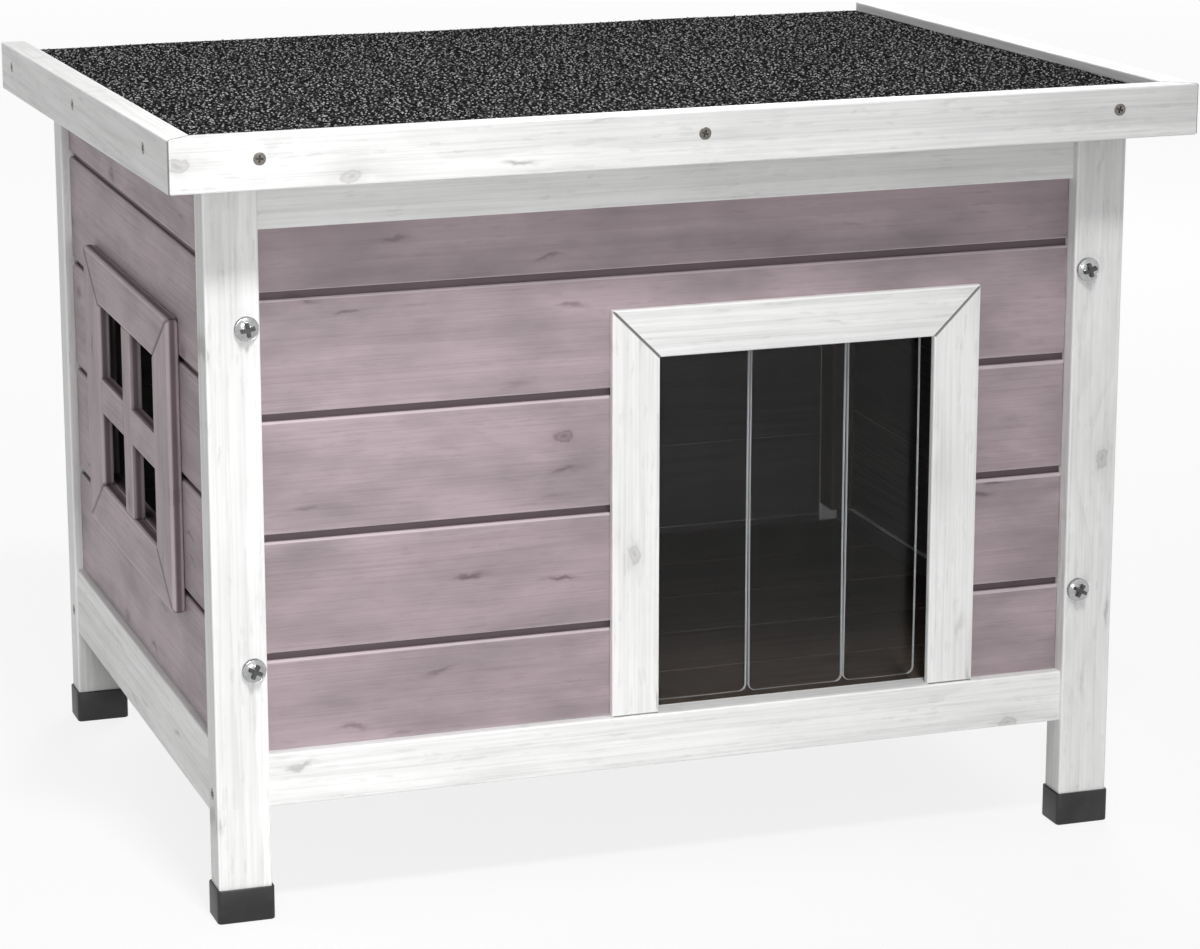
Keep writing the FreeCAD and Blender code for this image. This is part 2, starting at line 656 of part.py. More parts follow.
# Floor boards on two cleats
FLOOR_TOP = f"({FRONT_RAIL_TOP} - floor_step)"
FLOOR_UNDER = f"({FLOOR_TOP} - floor_thickness)"
floor_front = f"({FRONT_POST_BACK} + floor_clearance)"
floor_back = f"({BACK_POST_FRONT} - floor_clearance)"
floor_x = (f"-({SIDE_RAIL_IN} - floor_clearance)", f"{SIDE_RAIL_IN} - floor_clearance")
board_pitch = f"(({floor_back} - {floor_front} + floor_gap) / {FLOOR_BOARDS})"
boards = []
for number in range(FLOOR_BOARDS):
    near = f"{floor_front} + {number} * {board_pitch}"
    far = f"{near} + {board_pitch} - floor_gap"
    boards.append(block(f"floor_board_{number + 1}", "x", floor_x, (near, far), (FLOOR_UNDER, FLOOR_TOP)))
keep("floor_boards", group("floor_boards", boards))
keep("floor_cleats", group("floor_cleats", [
    block(f"floor_cleat_{side}", "y", span(sign, f"{SIDE_RAIL_IN} - cleat_width", SIDE_RAIL_IN),
          (floor_front, floor_back), (f"{FLOOR_UNDER} - cleat_height", FLOOR_UNDER))
    for side, sign in SIDES.items()]))

# Door: a mitred casing on the planks, standing on the bottom rail
casing_left = f"({DOOR_LEFT} - casing_width)"
casing_right = f"({DOOR_RIGHT} + casing_width)"
casing_top = f"({DOOR_TOP} + casing_width)"
casing_y = (f"{FRONT_PLANK_OUT} - casing_thickness", FRONT_PLANK_OUT)
casing = {
    "left": [(casing_left, FRONT_RAIL_TOP), (DOOR_LEFT, FRONT_RAIL_TOP), (DOOR_LEFT, DOOR_TOP),
             (casing_left, casing_top)],
    "top": [(DOOR_LEFT, DOOR_TOP), (DOOR_RIGHT, DOOR_TOP), (casing_right, casing_top),
            (casing_left, casing_top)],
    "right": [(DOOR_RIGHT, FRONT_RAIL_TOP), (casing_right, FRONT_RAIL_TOP), (casing_right, casing_top),
              (DOOR_RIGHT, DOOR_TOP)],
}
for part, outline in casing.items():
    keep(f"door_casing_{part}", prism(f"door_casing_{part}", "XZ_Plane", outline, *casing_y))

# Flap: three clear strips that swing under a bar behind the head of the door
keep("flap_bar", block(
    "flap_bar", "x", (f"{DOOR_LEFT} - flap_bar_overlap", f"{DOOR_RIGHT} + flap_bar_overlap"),
    (FRONT_POST_BACK, f"{FRONT_POST_BACK} + flap_bar_thickness"),
    (DOOR_TOP, f"{DOOR_TOP} + flap_bar_height")))
FLAP_Y = f"({FRONT_POST_BACK} + strip_setback + strip_thickness / 2)"
FLAP_Z = f"({DOOR_TOP} - strip_hang_gap - strip_thickness / 2)"
strip_left = f"({DOOR_LEFT} + strip_side_gap)"
strip_step = "(strip_width + strip_gap)"
strips = {
    "left": (strip_left, f"{strip_left} + strip_width"),
    "middle": (f"{strip_left} + {strip_step}", f"{strip_left} + {strip_step} + strip_width"),
    "right": (f"{strip_left} + 2 * {strip_step}", f"{DOOR_RIGHT} - strip_side_gap"),
}
for part, x in strips.items():
    plate = block(f"flap_strip_{part}_plate", "x", x,
                  (f"{FLAP_Y} - strip_thickness / 2", f"{FLAP_Y} + strip_thickness / 2"),
                  (f"{FRONT_RAIL_TOP} + strip_sill_gap", FLAP_Z))
    head = rod(f"flap_strip_{part}_head", "strip_thickness / 2", *x, y=FLAP_Y, z=FLAP_Z)
    keep(f"flap_strip_{part}", fuse(f"flap_strip_{part}", [plate, head]))

# Roof: a deck and its felt inside three mitred fascia boards, open at the back
fascia_band = prism("fascia_band", "YZ_Plane", [
    (f"-{roof_edge}", roof_z(f"-{roof_edge}", "fascia_height")),
    (roof_edge, roof_z(roof_edge, "fascia_height")),
    (roof_edge, roof_z(roof_edge, "0")),
    (f"-{roof_edge}", roof_z(f"-{roof_edge}", "0")),
], "-roof_width / 2", "roof_width / 2")
roof_side = "roof_width / 2"
deck_side = "(roof_width / 2 - fascia_thickness)"
deck_front = "(fascia_thickness - roof_depth / 2)"
DECK_MIDDLE = "fascia_lip + felt_thickness + deck_thickness / 2"
fascia_plans = {
    "front": [(f"-{roof_side}", f"-{roof_edge}"), (roof_side, f"-{roof_edge}"), (deck_side, deck_front),
              (f"-{deck_side}", deck_front)],
    "left": [(f"-{roof_side}", f"-{roof_edge}"), (f"-{deck_side}", deck_front), (f"-{deck_side}", roof_edge),
             (f"-{roof_side}", roof_edge)],
    "right": [(deck_side, deck_front), (roof_side, f"-{roof_edge}"), (roof_side, roof_edge),
              (deck_side, roof_edge)],
}
SIDE_SCREW_Y = ["side_screw_front - roof_depth / 2", "(side_screw_front - side_screw_back) / 2",
                "roof_depth / 2 - side_screw_back"]
FRONT_SCREW_X = ["front_screw_inset - roof_width / 2", "0", "roof_width / 2 - front_screw_inset"]


def fascia_screws_at(master, board):
    if board == "front":
        height = roof_z(deck_front, DECK_MIDDLE)
        return [copy_at(master, x, f"-{roof_edge}", height, facing="front") for x in FRONT_SCREW_X]
    x = f"{SIDES[board]} * {roof_side}"
    return [copy_at(master, x, y, roof_z(y, DECK_MIDDLE), facing=board) for y in SIDE_SCREW_Y]


for board, plan in fascia_plans.items():
    blank = doc.addObject("Part::Common", f"fascia_{board}_blank")
    blank.Base = fascia_band
    blank.Tool = prism(f"fascia_{board}_plan", "XY_Plane", plan,
                       "roof_height - roof_drop - 2 * fascia_height", "roof_height + fascia_height")
    keep(f"fascia_{board}", cut(f"fascia_{board}", blank, fascia_screws_at(fascia_screw_bore, board)))
keep("fascia_screws", group("fascia_screws", [
    copy for board in fascia_plans for copy in fascia_screws_at(fascia_screw, board)]))


def roof_layer(label, top, bottom):
    """A sheet of the roof inside the fascia boards, between two drops below their top edges."""
    section = [(deck_front, roof_z(deck_front, bottom)), (roof_edge, roof_z(roof_edge, bottom)),
               (roof_edge, roof_z(roof_edge, top)), (deck_front, roof_z(deck_front, top))]
    return prism(label, "YZ_Plane", section, f"-{deck_side}", deck_side)


keep("roof_felt", roof_layer("roof_felt", "fascia_lip", "fascia_lip + felt_thickness"))
deck_bores = [copy for board in fascia_plans for copy in fascia_screws_at(fascia_screw_bore, board)]
deck_bores += hinge_screws_at(hinge_screw_bore, "down")
keep("roof_deck", cut("roof_deck", roof_layer("roof_deck_blank", "fascia_lip + felt_thickness", DECK_UNDER),
                      deck_bores))

# Check every object, then write each finished piece to its own file
doc.recompute()
for thing in doc.Objects:
    if "Invalid" in thing.State or "Error" in thing.State:
        raise RuntimeError(f"{thing.Name} failed: {thing.State}")
for name, piece in nodes.items():
    if piece.Shape.isNull() or not piece.Shape.isValid() or not piece.Shape.Solids:
        raise RuntimeError(f"{name} is not a valid solid")
os.makedirs("parts", exist_ok=True)
for name, piece in nodes.items():
    piece.Shape.exportStep(f"parts/{name}.step")
    print(name, len(piece.Shape.Solids), round(piece.Shape.Volume))
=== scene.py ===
# %% [markdown]
# # An outdoor cat house
# The house is a boarded cabin on four posts. Its roof lifts on two hinges at the back, and three clear strips
# hang in the doorway. The CAD model already has every piece at its real size and place, so this lesson only
# gives those pieces their finish: softened edges, painted grain, driven screws, mineral felt and clear
# plastic.

# %% Load the frame
import json
import math
import random

import bmesh
import bpy
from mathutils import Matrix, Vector


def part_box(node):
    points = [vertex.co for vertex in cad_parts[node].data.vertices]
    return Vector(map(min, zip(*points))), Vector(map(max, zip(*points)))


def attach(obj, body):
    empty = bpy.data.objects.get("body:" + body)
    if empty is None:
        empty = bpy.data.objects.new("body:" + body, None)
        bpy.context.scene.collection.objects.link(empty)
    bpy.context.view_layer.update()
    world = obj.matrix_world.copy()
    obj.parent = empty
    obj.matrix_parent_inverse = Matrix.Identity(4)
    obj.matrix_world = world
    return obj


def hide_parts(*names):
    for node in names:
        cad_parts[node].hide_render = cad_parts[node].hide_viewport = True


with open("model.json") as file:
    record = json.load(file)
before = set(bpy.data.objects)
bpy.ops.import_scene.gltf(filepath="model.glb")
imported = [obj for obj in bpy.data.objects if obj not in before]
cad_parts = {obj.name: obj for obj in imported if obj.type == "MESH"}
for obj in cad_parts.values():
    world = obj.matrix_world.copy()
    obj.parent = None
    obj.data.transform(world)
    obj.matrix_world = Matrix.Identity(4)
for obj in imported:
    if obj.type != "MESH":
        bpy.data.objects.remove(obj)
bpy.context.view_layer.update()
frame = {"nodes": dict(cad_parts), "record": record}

MM = 0.001
record = frame["record"]
body_of = {node: body for body, nodes in record["behaviour"]["bodies"].items() for node in nodes}
slot_of = {part["node"]: part["material_slot"] for part in record["subparts"]}

# %% [markdown]
# ## Writing node trees in code
# A material is a tree of nodes. Built by hand in the editor it is dragged and wired; in a script the wires
# soon hide what the tree does. This small helper adds a node and fills its inputs in one line: a socket is
# linked, and anything else is set as a value.

# %% A helper for node trees
class Wiring:
    """Adds nodes to one tree and wires their inputs."""

    def __init__(self, tree):
        self.tree = tree

    def add(self, kind, inputs=None, **settings):
        node = self.tree.nodes.new(kind)
        for name, value in settings.items():
            setattr(node, name, value)
        self.fill_all(node, inputs or {})
        return node

    def make(self, kind, inputs=None, output=0, **settings):
        """Add a node and take one of its outputs."""
        return self.add(kind, inputs, **settings).outputs[output]

    def fill(self, socket, value):
        if isinstance(value, bpy.types.NodeSocket):
            self.tree.links.new(value, socket)
        else:
            socket.default_value = value

    def fill_all(self, node, values):
        """Fill several inputs of a node."""
        for key, value in values.items():
            self.fill(node.inputs[key], value)

    def maths(self, operation, *values):
        return self.make("ShaderNodeMath", dict(enumerate(values)), operation=operation)

    def times(self, value, factor):
        return self.maths("MULTIPLY", value, factor)

    def times_add(self, value, factor, more):
        return self.maths("MULTIPLY_ADD", value, factor, more)

    def vector(self, operation, *values):
        return self.make("ShaderNodeVectorMath", dict(enumerate(values)), operation=operation)

    def length(self, vector):
        return self.make("ShaderNodeVectorMath", {0: vector}, "Value", operation="LENGTH")

    def spread(self, vector, factors):
        """A vector with each axis multiplied by its own factor."""
        return self.vector("MULTIPLY", vector, factors)

    def split(self, vector):
        return self.add("ShaderNodeSeparateXYZ", {0: vector}).outputs[:3]

    def join(self, x=0.0, y=0.0, z=0.0):
        return self.make("ShaderNodeCombineXYZ", {0: x, 1: y, 2: z})

    def place(self):
        """Object coordinates, in metres."""
        return self.make("ShaderNodeTexCoord", output="Object")

    def attribute(self, name, output="Fac"):
        return self.make("ShaderNodeAttribute", output=output, attribute_name=name)

    def noise(self, vector, scale=1.0, detail=2.0, output="Fac"):
        inputs = {"Vector": vector, "Scale": scale, "Detail": detail}
        return self.make("ShaderNodeTexNoise", inputs, output)

    def cells(self, vector, scale=1.0, dimensions="3D"):
        """Random cells, each with a random colour and the distance from its middle."""
        inputs = {"Vector": vector, "Scale": scale}
        return self.add("ShaderNodeTexVoronoi", inputs, voronoi_dimensions=dimensions).outputs

    def ramp(self, factor, stops):
        """A curve of grey values, or of colours, through (place, value) stops."""
        node = self.add("ShaderNodeValToRGB", {0: factor})
        points = node.color_ramp.elements
        while len(points) < len(stops):
            points.new(1.0)
        for point, (place, value) in zip(points, stops):
            point.position = place
            point.color = (*value, 1.0) if isinstance(value, tuple) else (value, value, value, 1.0)
        return node.outputs["Color"]

    def mix(self, factor, first, second):
        """A colour between two colours."""
        node = self.add("ShaderNodeMix", data_type="RGBA")
        for index, value in ((0, factor), (6, first), (7, second)):
            if isinstance(value, tuple):
                value = (*value, 1.0)
            self.fill(node.inputs[index], value)
        return node.outputs[2]

    def bump(self, height, strength, distance, invert=False):
        inputs = {"Height": height, "Strength": strength, "Distance": distance}
        return self.make("ShaderNodeBump", inputs, invert=invert)


def new_material(name):
    """A material, its shader and the wires of its tree."""
    material = bpy.data.materials.new(name)
    material.use_nodes = True
    shader = material.node_tree.nodes["Principled BSDF"]
    return material, shader, Wiring(material.node_tree)


print("helper for node trees:", Wiring.__name__)

# %% [markdown]
# ## Painted softwood
# The house is softwood under a thin stain, so the growth rings, the fibres and a knot here and there still
# show. Each board carries its own attributes: grain coordinates (along, across and through the board), half
# its sizes, and a number. The material thinks of the board as sawn from a log: rings are a distance from the
# pith, bent by noise and pushed aside by knots, and the heartwood within a radius takes the stain a little
# darker. One tree then suits posts, planks and rails, and the pattern runs on round every edge. Two
# more attributes mark the chamfers, lightened by worn paint and a painted highlight, or darkened where boards
# meet at their ends, and the boards whose inner face gets painted shade for the shade inside the cabin. Faces
# sunk behind the face of a board, in grooves and on sawn edges, get painted shade as well.

# %% Masks of the grain
RING_WIDTH = 6.5 * MM
WANDER = 11 * MM
KNOT_PUSH = 8 * MM
HEART_RADIUS = 48 * MM

# The pith lies within PITH_SIDE, half on either side, and PITH_NEAR or up to PITH_RANGE more behind.
PITH_SIDE = 90 * MM
PITH_NEAR = 20 * MM
PITH_RANGE = 40 * MM

# A board's number picks its stretch of a long log, and makes two more lots for the place of the pith.
LOG_LENGTH = 40.0
SIDE_LOT = 17.3
DEEP_LOT = 31.7

# Repeats of each pattern in a metre along, across and through a board.
PER_METRE = {
    "knots": (10, 16, 16), "checks": (24, 150, 150), "ticks": (75, 430, 430), "bends": (45, 60, 60),
    "waves": (6, 34, 34), "patches": (8, 24, 24), "fibres": (13, 700, 700), "clouds": (15, 36, 36),
    "scuffs": (30, 120, 120)}
RAGGED = 140.0
RAGGED_KNOTS = (0.09, 0.09, 0.09)
RAGGED_TICKS = (1.6, 1.6, 1.6)
CHECK_BEND = 2.2

# A cell of a pattern stays empty unless its lot is above this.
KNOT_LOT = 0.8
CHECK_LOT = 0.94
TICK_LOT = 0.7


def chosen_cells(wires, place, lot, least, strong=None):
    """Distance from the middles of flat random cells, and which of them hold a mark.

    A cell's random colour is three lots: one above the least brings a mark, another says how strong it is.
    """
    cells = wires.cells(place, dimensions="2D")
    lots = wires.split(cells["Color"])
    chosen = wires.maths("GREATER_THAN", lots[lot], least)
    if strong is not None:
        chosen = wires.times(chosen, lots[strong])
    return cells["Distance"], chosen


def grain_masks(wires, place, number):
    """Grey masks of a board: knots, checks, ticks, rings, heartwood, fibres, clouds and scuffs."""
    across, through = wires.split(place)[1:]
    in_log = wires.vector("ADD", place, wires.join(wires.times(number, LOG_LENGTH)))
    scaled = {name: wires.spread(in_log, factors) for name, factors in PER_METRE.items()}
    ragged = wires.noise(in_log, scale=RAGGED, detail=3.0, output="Color")

    def marks(chosen, reach, stops):
        return wires.times(chosen, wires.ramp(reach, stops))

    def soft(name, detail, stops):
        return wires.ramp(wires.noise(scaled[name], detail=detail), stops)

    knot_place = wires.vector("ADD", scaled["knots"], wires.spread(ragged, RAGGED_KNOTS))
    reach, chosen = chosen_cells(wires, knot_place, 0, KNOT_LOT)
    near_knot = marks(chosen, reach, [(0.0, 1.0), (0.5, 0.0)])
    knots = marks(chosen, reach, [
        (0.0, 0.9), (0.03, 0.5), (0.048, 0.7), (0.062, 0.22), (0.1, 0.1), (0.22, 0.0)])

    bend = wires.times(wires.noise(scaled["bends"], detail=3.0), CHECK_BEND)
    check_place = wires.vector("ADD", scaled["checks"], wires.join(y=bend, z=bend))
    reach, chosen = chosen_cells(wires, check_place, 1, CHECK_LOT, strong=2)
    checks = marks(chosen, reach, [(0.0, 1.0), (0.1, 0.9), (0.2, 0.25), (0.36, 0.0)])

    tick_place = wires.vector("ADD", scaled["ticks"], wires.spread(ragged, RAGGED_TICKS))
    reach, chosen = chosen_cells(wires, tick_place, 0, TICK_LOT, strong=1)
    ticks = marks(chosen, reach, [(0.0, 1.0), (0.25, 0.7), (0.5, 0.0)])

    wander = wires.maths("SUBTRACT", wires.noise(scaled["waves"], detail=3.0), 0.5)
    aside = wires.times_add(near_knot, KNOT_PUSH, wires.times(wander, WANDER))
    side_lot = wires.maths("FRACT", wires.times(number, SIDE_LOT))
    deep_lot = wires.maths("FRACT", wires.times(number, DEEP_LOT))
    pith_side = wires.times_add(side_lot, PITH_SIDE, -PITH_SIDE / 2)
    pith_deep = wires.times_add(deep_lot, PITH_RANGE, PITH_NEAR)
    from_side = wires.maths("ADD", wires.maths("SUBTRACT", across, pith_side), aside)
    from_deep = wires.maths("ADD", wires.maths("ADD", through, pith_deep), aside)
    radius = wires.length(wires.join(from_side, from_deep))
    ring = wires.maths("FRACT", wires.maths("DIVIDE", radius, RING_WIDTH))
    late_wood = wires.ramp(ring, [(0.0, 0.0), (0.45, 0.1), (0.88, 1.0), (1.0, 0.0)])
    patches = soft("patches", 3.0, [(0.35, 0.1), (0.68, 1.0)])
    return {
        "knots": knots, "checks": checks, "ticks": ticks,
        "rings": wires.times(late_wood, patches),
        "heart": wires.ramp(wires.maths("DIVIDE", radius, HEART_RADIUS), [(0.9, 1.0), (0.94, 0.0)]),
        "fibres": soft("fibres", 4.0, [(0.42, 0.0), (0.74, 1.0)]),
        "clouds": soft("clouds", 4.0, [(0.38, 0.0), (0.72, 1.0)]),
        "scuffs": soft("scuffs", 3.0, [(0.4, 0.0), (0.65, 1.0)])}


print("grain patterns:", ", ".join(PER_METRE))

# %% The wood material
ARRIS_BAND = 1.4 * MM
# GROOVE_DEPTH is how deep behind a board's face the painted groove shade sets in.
GROOVE_DEPTH = 4 * MM
INNER_SHADE_DEPTH = 2 * MM
RELIEF = 0.25 * MM
# Colour laid on the sloping faces at board ends, where boards meet.
JOINT_DARK = (0.09, 0.082, 0.076)
# Painted shade on the inner faces of planks and rails, for the shade inside the cabin, with darker grain.
INNER_SHADE = (0.076, 0.066, 0.063)
INNER_SHADE_GRAIN = (0.04, 0.035, 0.034)
FIBRE_TONE = 0.45
RING_TONE = 0.55
HEART_TONE = 0.28
TICK_TONE = 0.4
MARK_TONE = 0.85
FIBRE_RELIEF = 0.65
RING_RELIEF = 0.35
FIBRE_ROUGH = 0.14


def wood(name, paint, shade, knot_and_groove_shade, cloud, worn_and_highlight, grain, streaks, cloudy, wear_and_highlight, rough, painted_groove_shade, joint_dark):
    """Stained softwood: paint, the darker shade in its grain, knots, clouds, and worn arrises.

    Streaks and cloudy say how much the straight fibres and the soft patches show. Painted groove shade is how
    much painted shade, in the knot colour, darkens sawn edges and grooves, behind the face of the board.
    Joint dark is how much the sloping faces at board ends are darkened, and worn paint with a painted
    highlight lightens every chamfer.
    """
    material, shader, wires = new_material(name)
    place = wires.attribute("grain", "Vector")
    half = wires.attribute("half", "Vector")
    masks = grain_masks(wires, place, wires.attribute("board"))

    ring_tone = wires.times(masks["rings"], RING_TONE)
    straight = wires.times_add(masks["fibres"], FIBRE_TONE, ring_tone)
    tone = wires.times(straight, streaks)
    tone = wires.times_add(masks["heart"], HEART_TONE, tone)
    tone = wires.times_add(masks["ticks"], TICK_TONE, tone)
    colour = wires.mix(wires.times(masks["clouds"], cloudy), paint, cloud)
    colour = wires.mix(wires.times(tone, grain), colour, shade)
    marks = wires.maths("MAXIMUM", masks["knots"], masks["checks"])
    colour = wires.mix(wires.times(marks, MARK_TONE), colour, knot_and_groove_shade)

    # The two faces of an arris are the two nearest ones.
    to_faces = wires.split(wires.vector("SUBTRACT", half, wires.vector("ABSOLUTE", place)))
    least = wires.maths("MINIMUM", to_faces[0], to_faces[1])
    most = wires.maths("MAXIMUM", to_faces[0], to_faces[1])
    to_arris = wires.maths("MAXIMUM", least, wires.maths("MINIMUM", most, to_faces[2]))
    band = wires.ramp(wires.maths("DIVIDE", to_arris, ARRIS_BAND), [(0.0, 1.0), (1.0, 0.0)])
    chamfer = wires.attribute("chamfer")
    # Worn paint on scuffed arrises, and a painted highlight on every chamfer, lighten the colour.
    rubbed_and_highlit = wires.maths("MAXIMUM", wires.times(band, masks["scuffs"]), chamfer)
    colour = wires.mix(wires.times(rubbed_and_highlit, wear_and_highlight), colour, worn_and_highlight)
    # The sloping faces at board ends, where boards meet, are darkened.
    joint = wires.times(wires.maths("LESS_THAN", chamfer, -0.5), joint_dark)
    colour = wires.mix(joint, colour, JOINT_DARK)

    # Painted shade: faces sunk behind the board's face, in grooves and on sawn edges, darken towards the knot
    # colour.
    behind = wires.ramp(wires.maths("DIVIDE", to_faces[2], GROOVE_DEPTH), [(0.4, 0.0), (0.65, 1.0)])
    sunk = wires.times(behind, wires.maths("LESS_THAN", chamfer, 0.5))
    colour = wires.mix(wires.times(sunk, painted_groove_shade), colour, knot_and_groove_shade)
    # Painted shade: the face of a plank or rail that looks into the cabin is darkened as the shade in there.
    from_back = wires.maths("ADD", wires.split(place)[2], wires.split(half)[2])
    inner_face = wires.ramp(wires.maths("DIVIDE", from_back, INNER_SHADE_DEPTH), [(0.1, 1.0), (0.4, 0.0)])
    inner_shade_colour = wires.mix(straight, INNER_SHADE, INNER_SHADE_GRAIN)
    colour = wires.mix(wires.times(inner_face, wires.attribute("painted_inner_shade")), colour, inner_shade_colour)

    fibre_height = wires.times(masks["fibres"], FIBRE_RELIEF)
    height = wires.times_add(masks["rings"], RING_RELIEF, fibre_height)
    wires.fill_all(shader, {
        "Base Color": colour,
        "Roughness": wires.times_add(masks["fibres"], FIBRE_ROUGH, rough),
        "Normal": wires.bump(height, strength=0.45, distance=RELIEF, invert=True)})
    return material


white_paint = wood(
    "white_paint", paint=(0.89, 0.89, 0.885), shade=(0.50, 0.50, 0.495), knot_and_groove_shade=(0.36, 0.35, 0.34),
    cloud=(0.79, 0.79, 0.785), worn_and_highlight=(0.93, 0.93, 0.92), grain=0.65, streaks=1.0, cloudy=0.8, wear_and_highlight=0.6,
    rough=0.48, painted_groove_shade=0.12, joint_dark=0.75)
mauve_stain = wood(
    "mauve_stain", paint=(0.415, 0.333, 0.36), shade=(0.215, 0.165, 0.182), knot_and_groove_shade=(0.082, 0.053, 0.062),
    cloud=(0.235, 0.197, 0.208), worn_and_highlight=(0.58, 0.50, 0.525), grain=0.62, streaks=0.62, cloudy=0.95, wear_and_highlight=0.6,
    rough=0.5, painted_groove_shade=0.85, joint_dark=0.35)
# Painted shade: the bare pine inside the cabin is darkened as the shade in there.
pine_in_painted_shade = wood(
    "pine_in_painted_shade", paint=(0.105, 0.08, 0.062), shade=(0.055, 0.04, 0.031), knot_and_groove_shade=(0.03, 0.02, 0.015),
    cloud=(0.085, 0.067, 0.055), worn_and_highlight=(0.15, 0.12, 0.095), grain=0.8, streaks=1.0, cloudy=0.8, wear_and_highlight=0.4,
    rough=0.62, painted_groove_shade=0.25, joint_dark=0.6)
WOODS = {"white_wood": white_paint, "mauve_wood": mauve_stain, "bare_wood": pine_in_painted_shade}
print("wood finishes:", ", ".join(material.name for material in WOODS.values()))

# %% [markdown]
# ## Boards with soft edges
# A CAD board has knife edges, and nothing made of wood has. A Bevel modifier would round every edge, also the
# rims of the bores, and its overlap limit would then shrink the whole bevel to the smallest facet of a bore.
# So each board is a merged copy of its CAD solid, and only long outward edges are bevelled. The V between two
# neighbours that comes from it draws the fine dark joint lines at mitres and plank ends. Boards of one node
# may touch, so they are taken apart before their corners are merged.

# %% Take CAD meshes apart
def solids_of(node):
    """The triangles of each solid of a CAD node: a solid is whole when no edge of it is left open."""
    mesh = frame["nodes"][node].data
    solids = []
    open_edges = set()
    triangles = []
    for polygon in mesh.polygons:
        points = [mesh.vertices[index].co for index in polygon.vertices]
        corners = [tuple(round(part / MM, 3) for part in point) for point in points]
        triangles.append(points)
        for first, second in zip(corners, corners[1:] + corners[:1]):
            open_edges ^= {frozenset((first, second))}
        if not open_edges:
            solids.append(triangles)
            triangles = []
    return solids


def box_of(points):
    """The low and the high corner of the box round some points."""
    axes = list(zip(*points))
    return Vector(map(min, axes)), Vector(map(max, axes))


print("the back wall is", len(solids_of("back_planks")), "planks")

# %% Soften a board
ARRIS = {"plank": 0.6, "window_frame": 1.6, "window_muntin": 0.6, "door_casing": 0.8, "fascia": 0.8}
PLAIN_ARRIS = 0.6
SHORTEST_ARRIS = 5 * MM
SHARP = math.radians(30)
FLAT = math.radians(0.3)
SAME_POINT = 0.001 * MM
NO_LENGTH = 0.002 * MM


def soft_board(triangles, arris):
    """One board: its triangles joined into whole faces, its long outward edges rounded."""
    shape = bmesh.new()
    for triangle in triangles:
        shape.faces.new([shape.verts.new(corner) for corner in triangle])
    bmesh.ops.remove_doubles(shape, verts=shape.verts, dist=SAME_POINT)
    bmesh.ops.dissolve_limit(shape, angle_limit=FLAT, verts=shape.verts, edges=shape.edges)
    edges = [edge for edge in shape.edges if edge.is_convex and edge.calc_face_angle(0) > SHARP
             and edge.calc_length() > SHORTEST_ARRIS]
    bmesh.ops.bevel(shape, geom=edges, offset=arris, segments=2, profile=0.5, affect="EDGES",
                    clamp_overlap=True)
    bmesh.ops.dissolve_degenerate(shape, dist=NO_LENGTH, edges=shape.edges)
    shape.normal_update()
    return shape


print("arrises of", PLAIN_ARRIS, "to", max(ARRIS.values()), "mm")

# %% Give a board its grain
SLOPING = math.cos(math.radians(15))
END_SLOPE = 0.15
# Planks and rails get painted shade on the face that looks into the cabin.
INNER_SHADE_BOARDS = ("plank", "rail")


def board_box(shape):
    return box_of([vertex.co for vertex in shape.verts])


def add_grain(shape, name, index):
    """Give a board its grain coordinates, half sizes and number, and say if its inner face gets painted
    shade.

    The coordinate through a board grows away from the middle of the house. Sloping faces are its chamfers: 1
    along the board, lightened by worn paint and a painted highlight, and -1 across its ends, where the joint
    faces are darkened.
    """
    grain = shape.verts.layers.float_vector.new("grain")
    half = shape.verts.layers.float_vector.new("half")
    board = shape.verts.layers.float.new("board")
    painted_inner_shade = shape.verts.layers.float.new("painted_inner_shade")
    chamfer = shape.loops.layers.float.new("chamfer")
    has_inner_shade = float(any(word in name for word in INNER_SHADE_BOARDS))
    low, high = board_box(shape)
    axes = sorted(range(3), key=lambda axis: low[axis] - high[axis])
    middle = (low + high) / 2
    number = random.Random(f"{name} {index}").random()
    outwards = math.copysign(1.0, middle[axes[2]])
    for vertex in shape.verts:
        along, across, through = [(vertex.co - middle)[axis] for axis in axes]
        vertex[grain] = (along, across, through * outwards)
        vertex[half] = [(high - low)[axis] / 2 for axis in axes]
        vertex[board] = number
        vertex[painted_inner_shade] = has_inner_shade
    for face in shape.faces:
        sloping = max(abs(way) for way in face.normal) < SLOPING
        at_end = abs(face.normal[axes[0]]) > END_SLOPE
        for loop in face.loops:
            loop[chamfer] = (-1.0 if at_end else 1.0) if sloping else 0.0


print("dark inner faces on boards named", " or ".join(INNER_SHADE_BOARDS))

# %% Make the boards
def as_piece(shape, name, materials, nodes):
    """Turn a bmesh into a piece that rides with, and stands for, its CAD nodes."""
    mesh = bpy.data.meshes.new(name)
    for material in materials:
        mesh.materials.append(material)
    shape.to_mesh(mesh)
    shape.free()
    return finish_piece(bpy.data.objects.new(name, mesh), nodes)


def finish_piece(piece, nodes):
    bpy.context.scene.collection.objects.link(piece)
    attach(piece, body_of[nodes[0]])
    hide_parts(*nodes)
    return piece


boards = 0
for node in sorted(frame["nodes"]):
    if slot_of[node] not in WOODS:
        continue
    arris = next((size for word, size in ARRIS.items() if word in node), PLAIN_ARRIS) * MM
    shapes = [soft_board(triangles, arris) for triangles in solids_of(node)]
    whole = bmesh.new()
    for index, shape in enumerate(sorted(shapes, key=lambda shape: tuple(board_box(shape)[0]))):
        add_grain(shape, node, index)
        board = bpy.data.meshes.new("board")
        shape.to_mesh(board)
        shape.free()
        whole.from_mesh(board)
        bpy.data.meshes.remove(board)
    boards += len(shapes)
    as_piece(whole, f"{node}_board", [WOODS[slot_of[node]]], [node])
print(boards, "boards")

# %% [markdown]
# ## Zinc plated metal
# The bolts, screws and hinges are steel with a thin zinc plating: bright, slightly blue-grey, and mottled
# where the plating has crystallised. The small wood screws have a thinner, yellowed plating and look darker.
# Metal shows what surrounds it, so most of its look comes from the roughness.

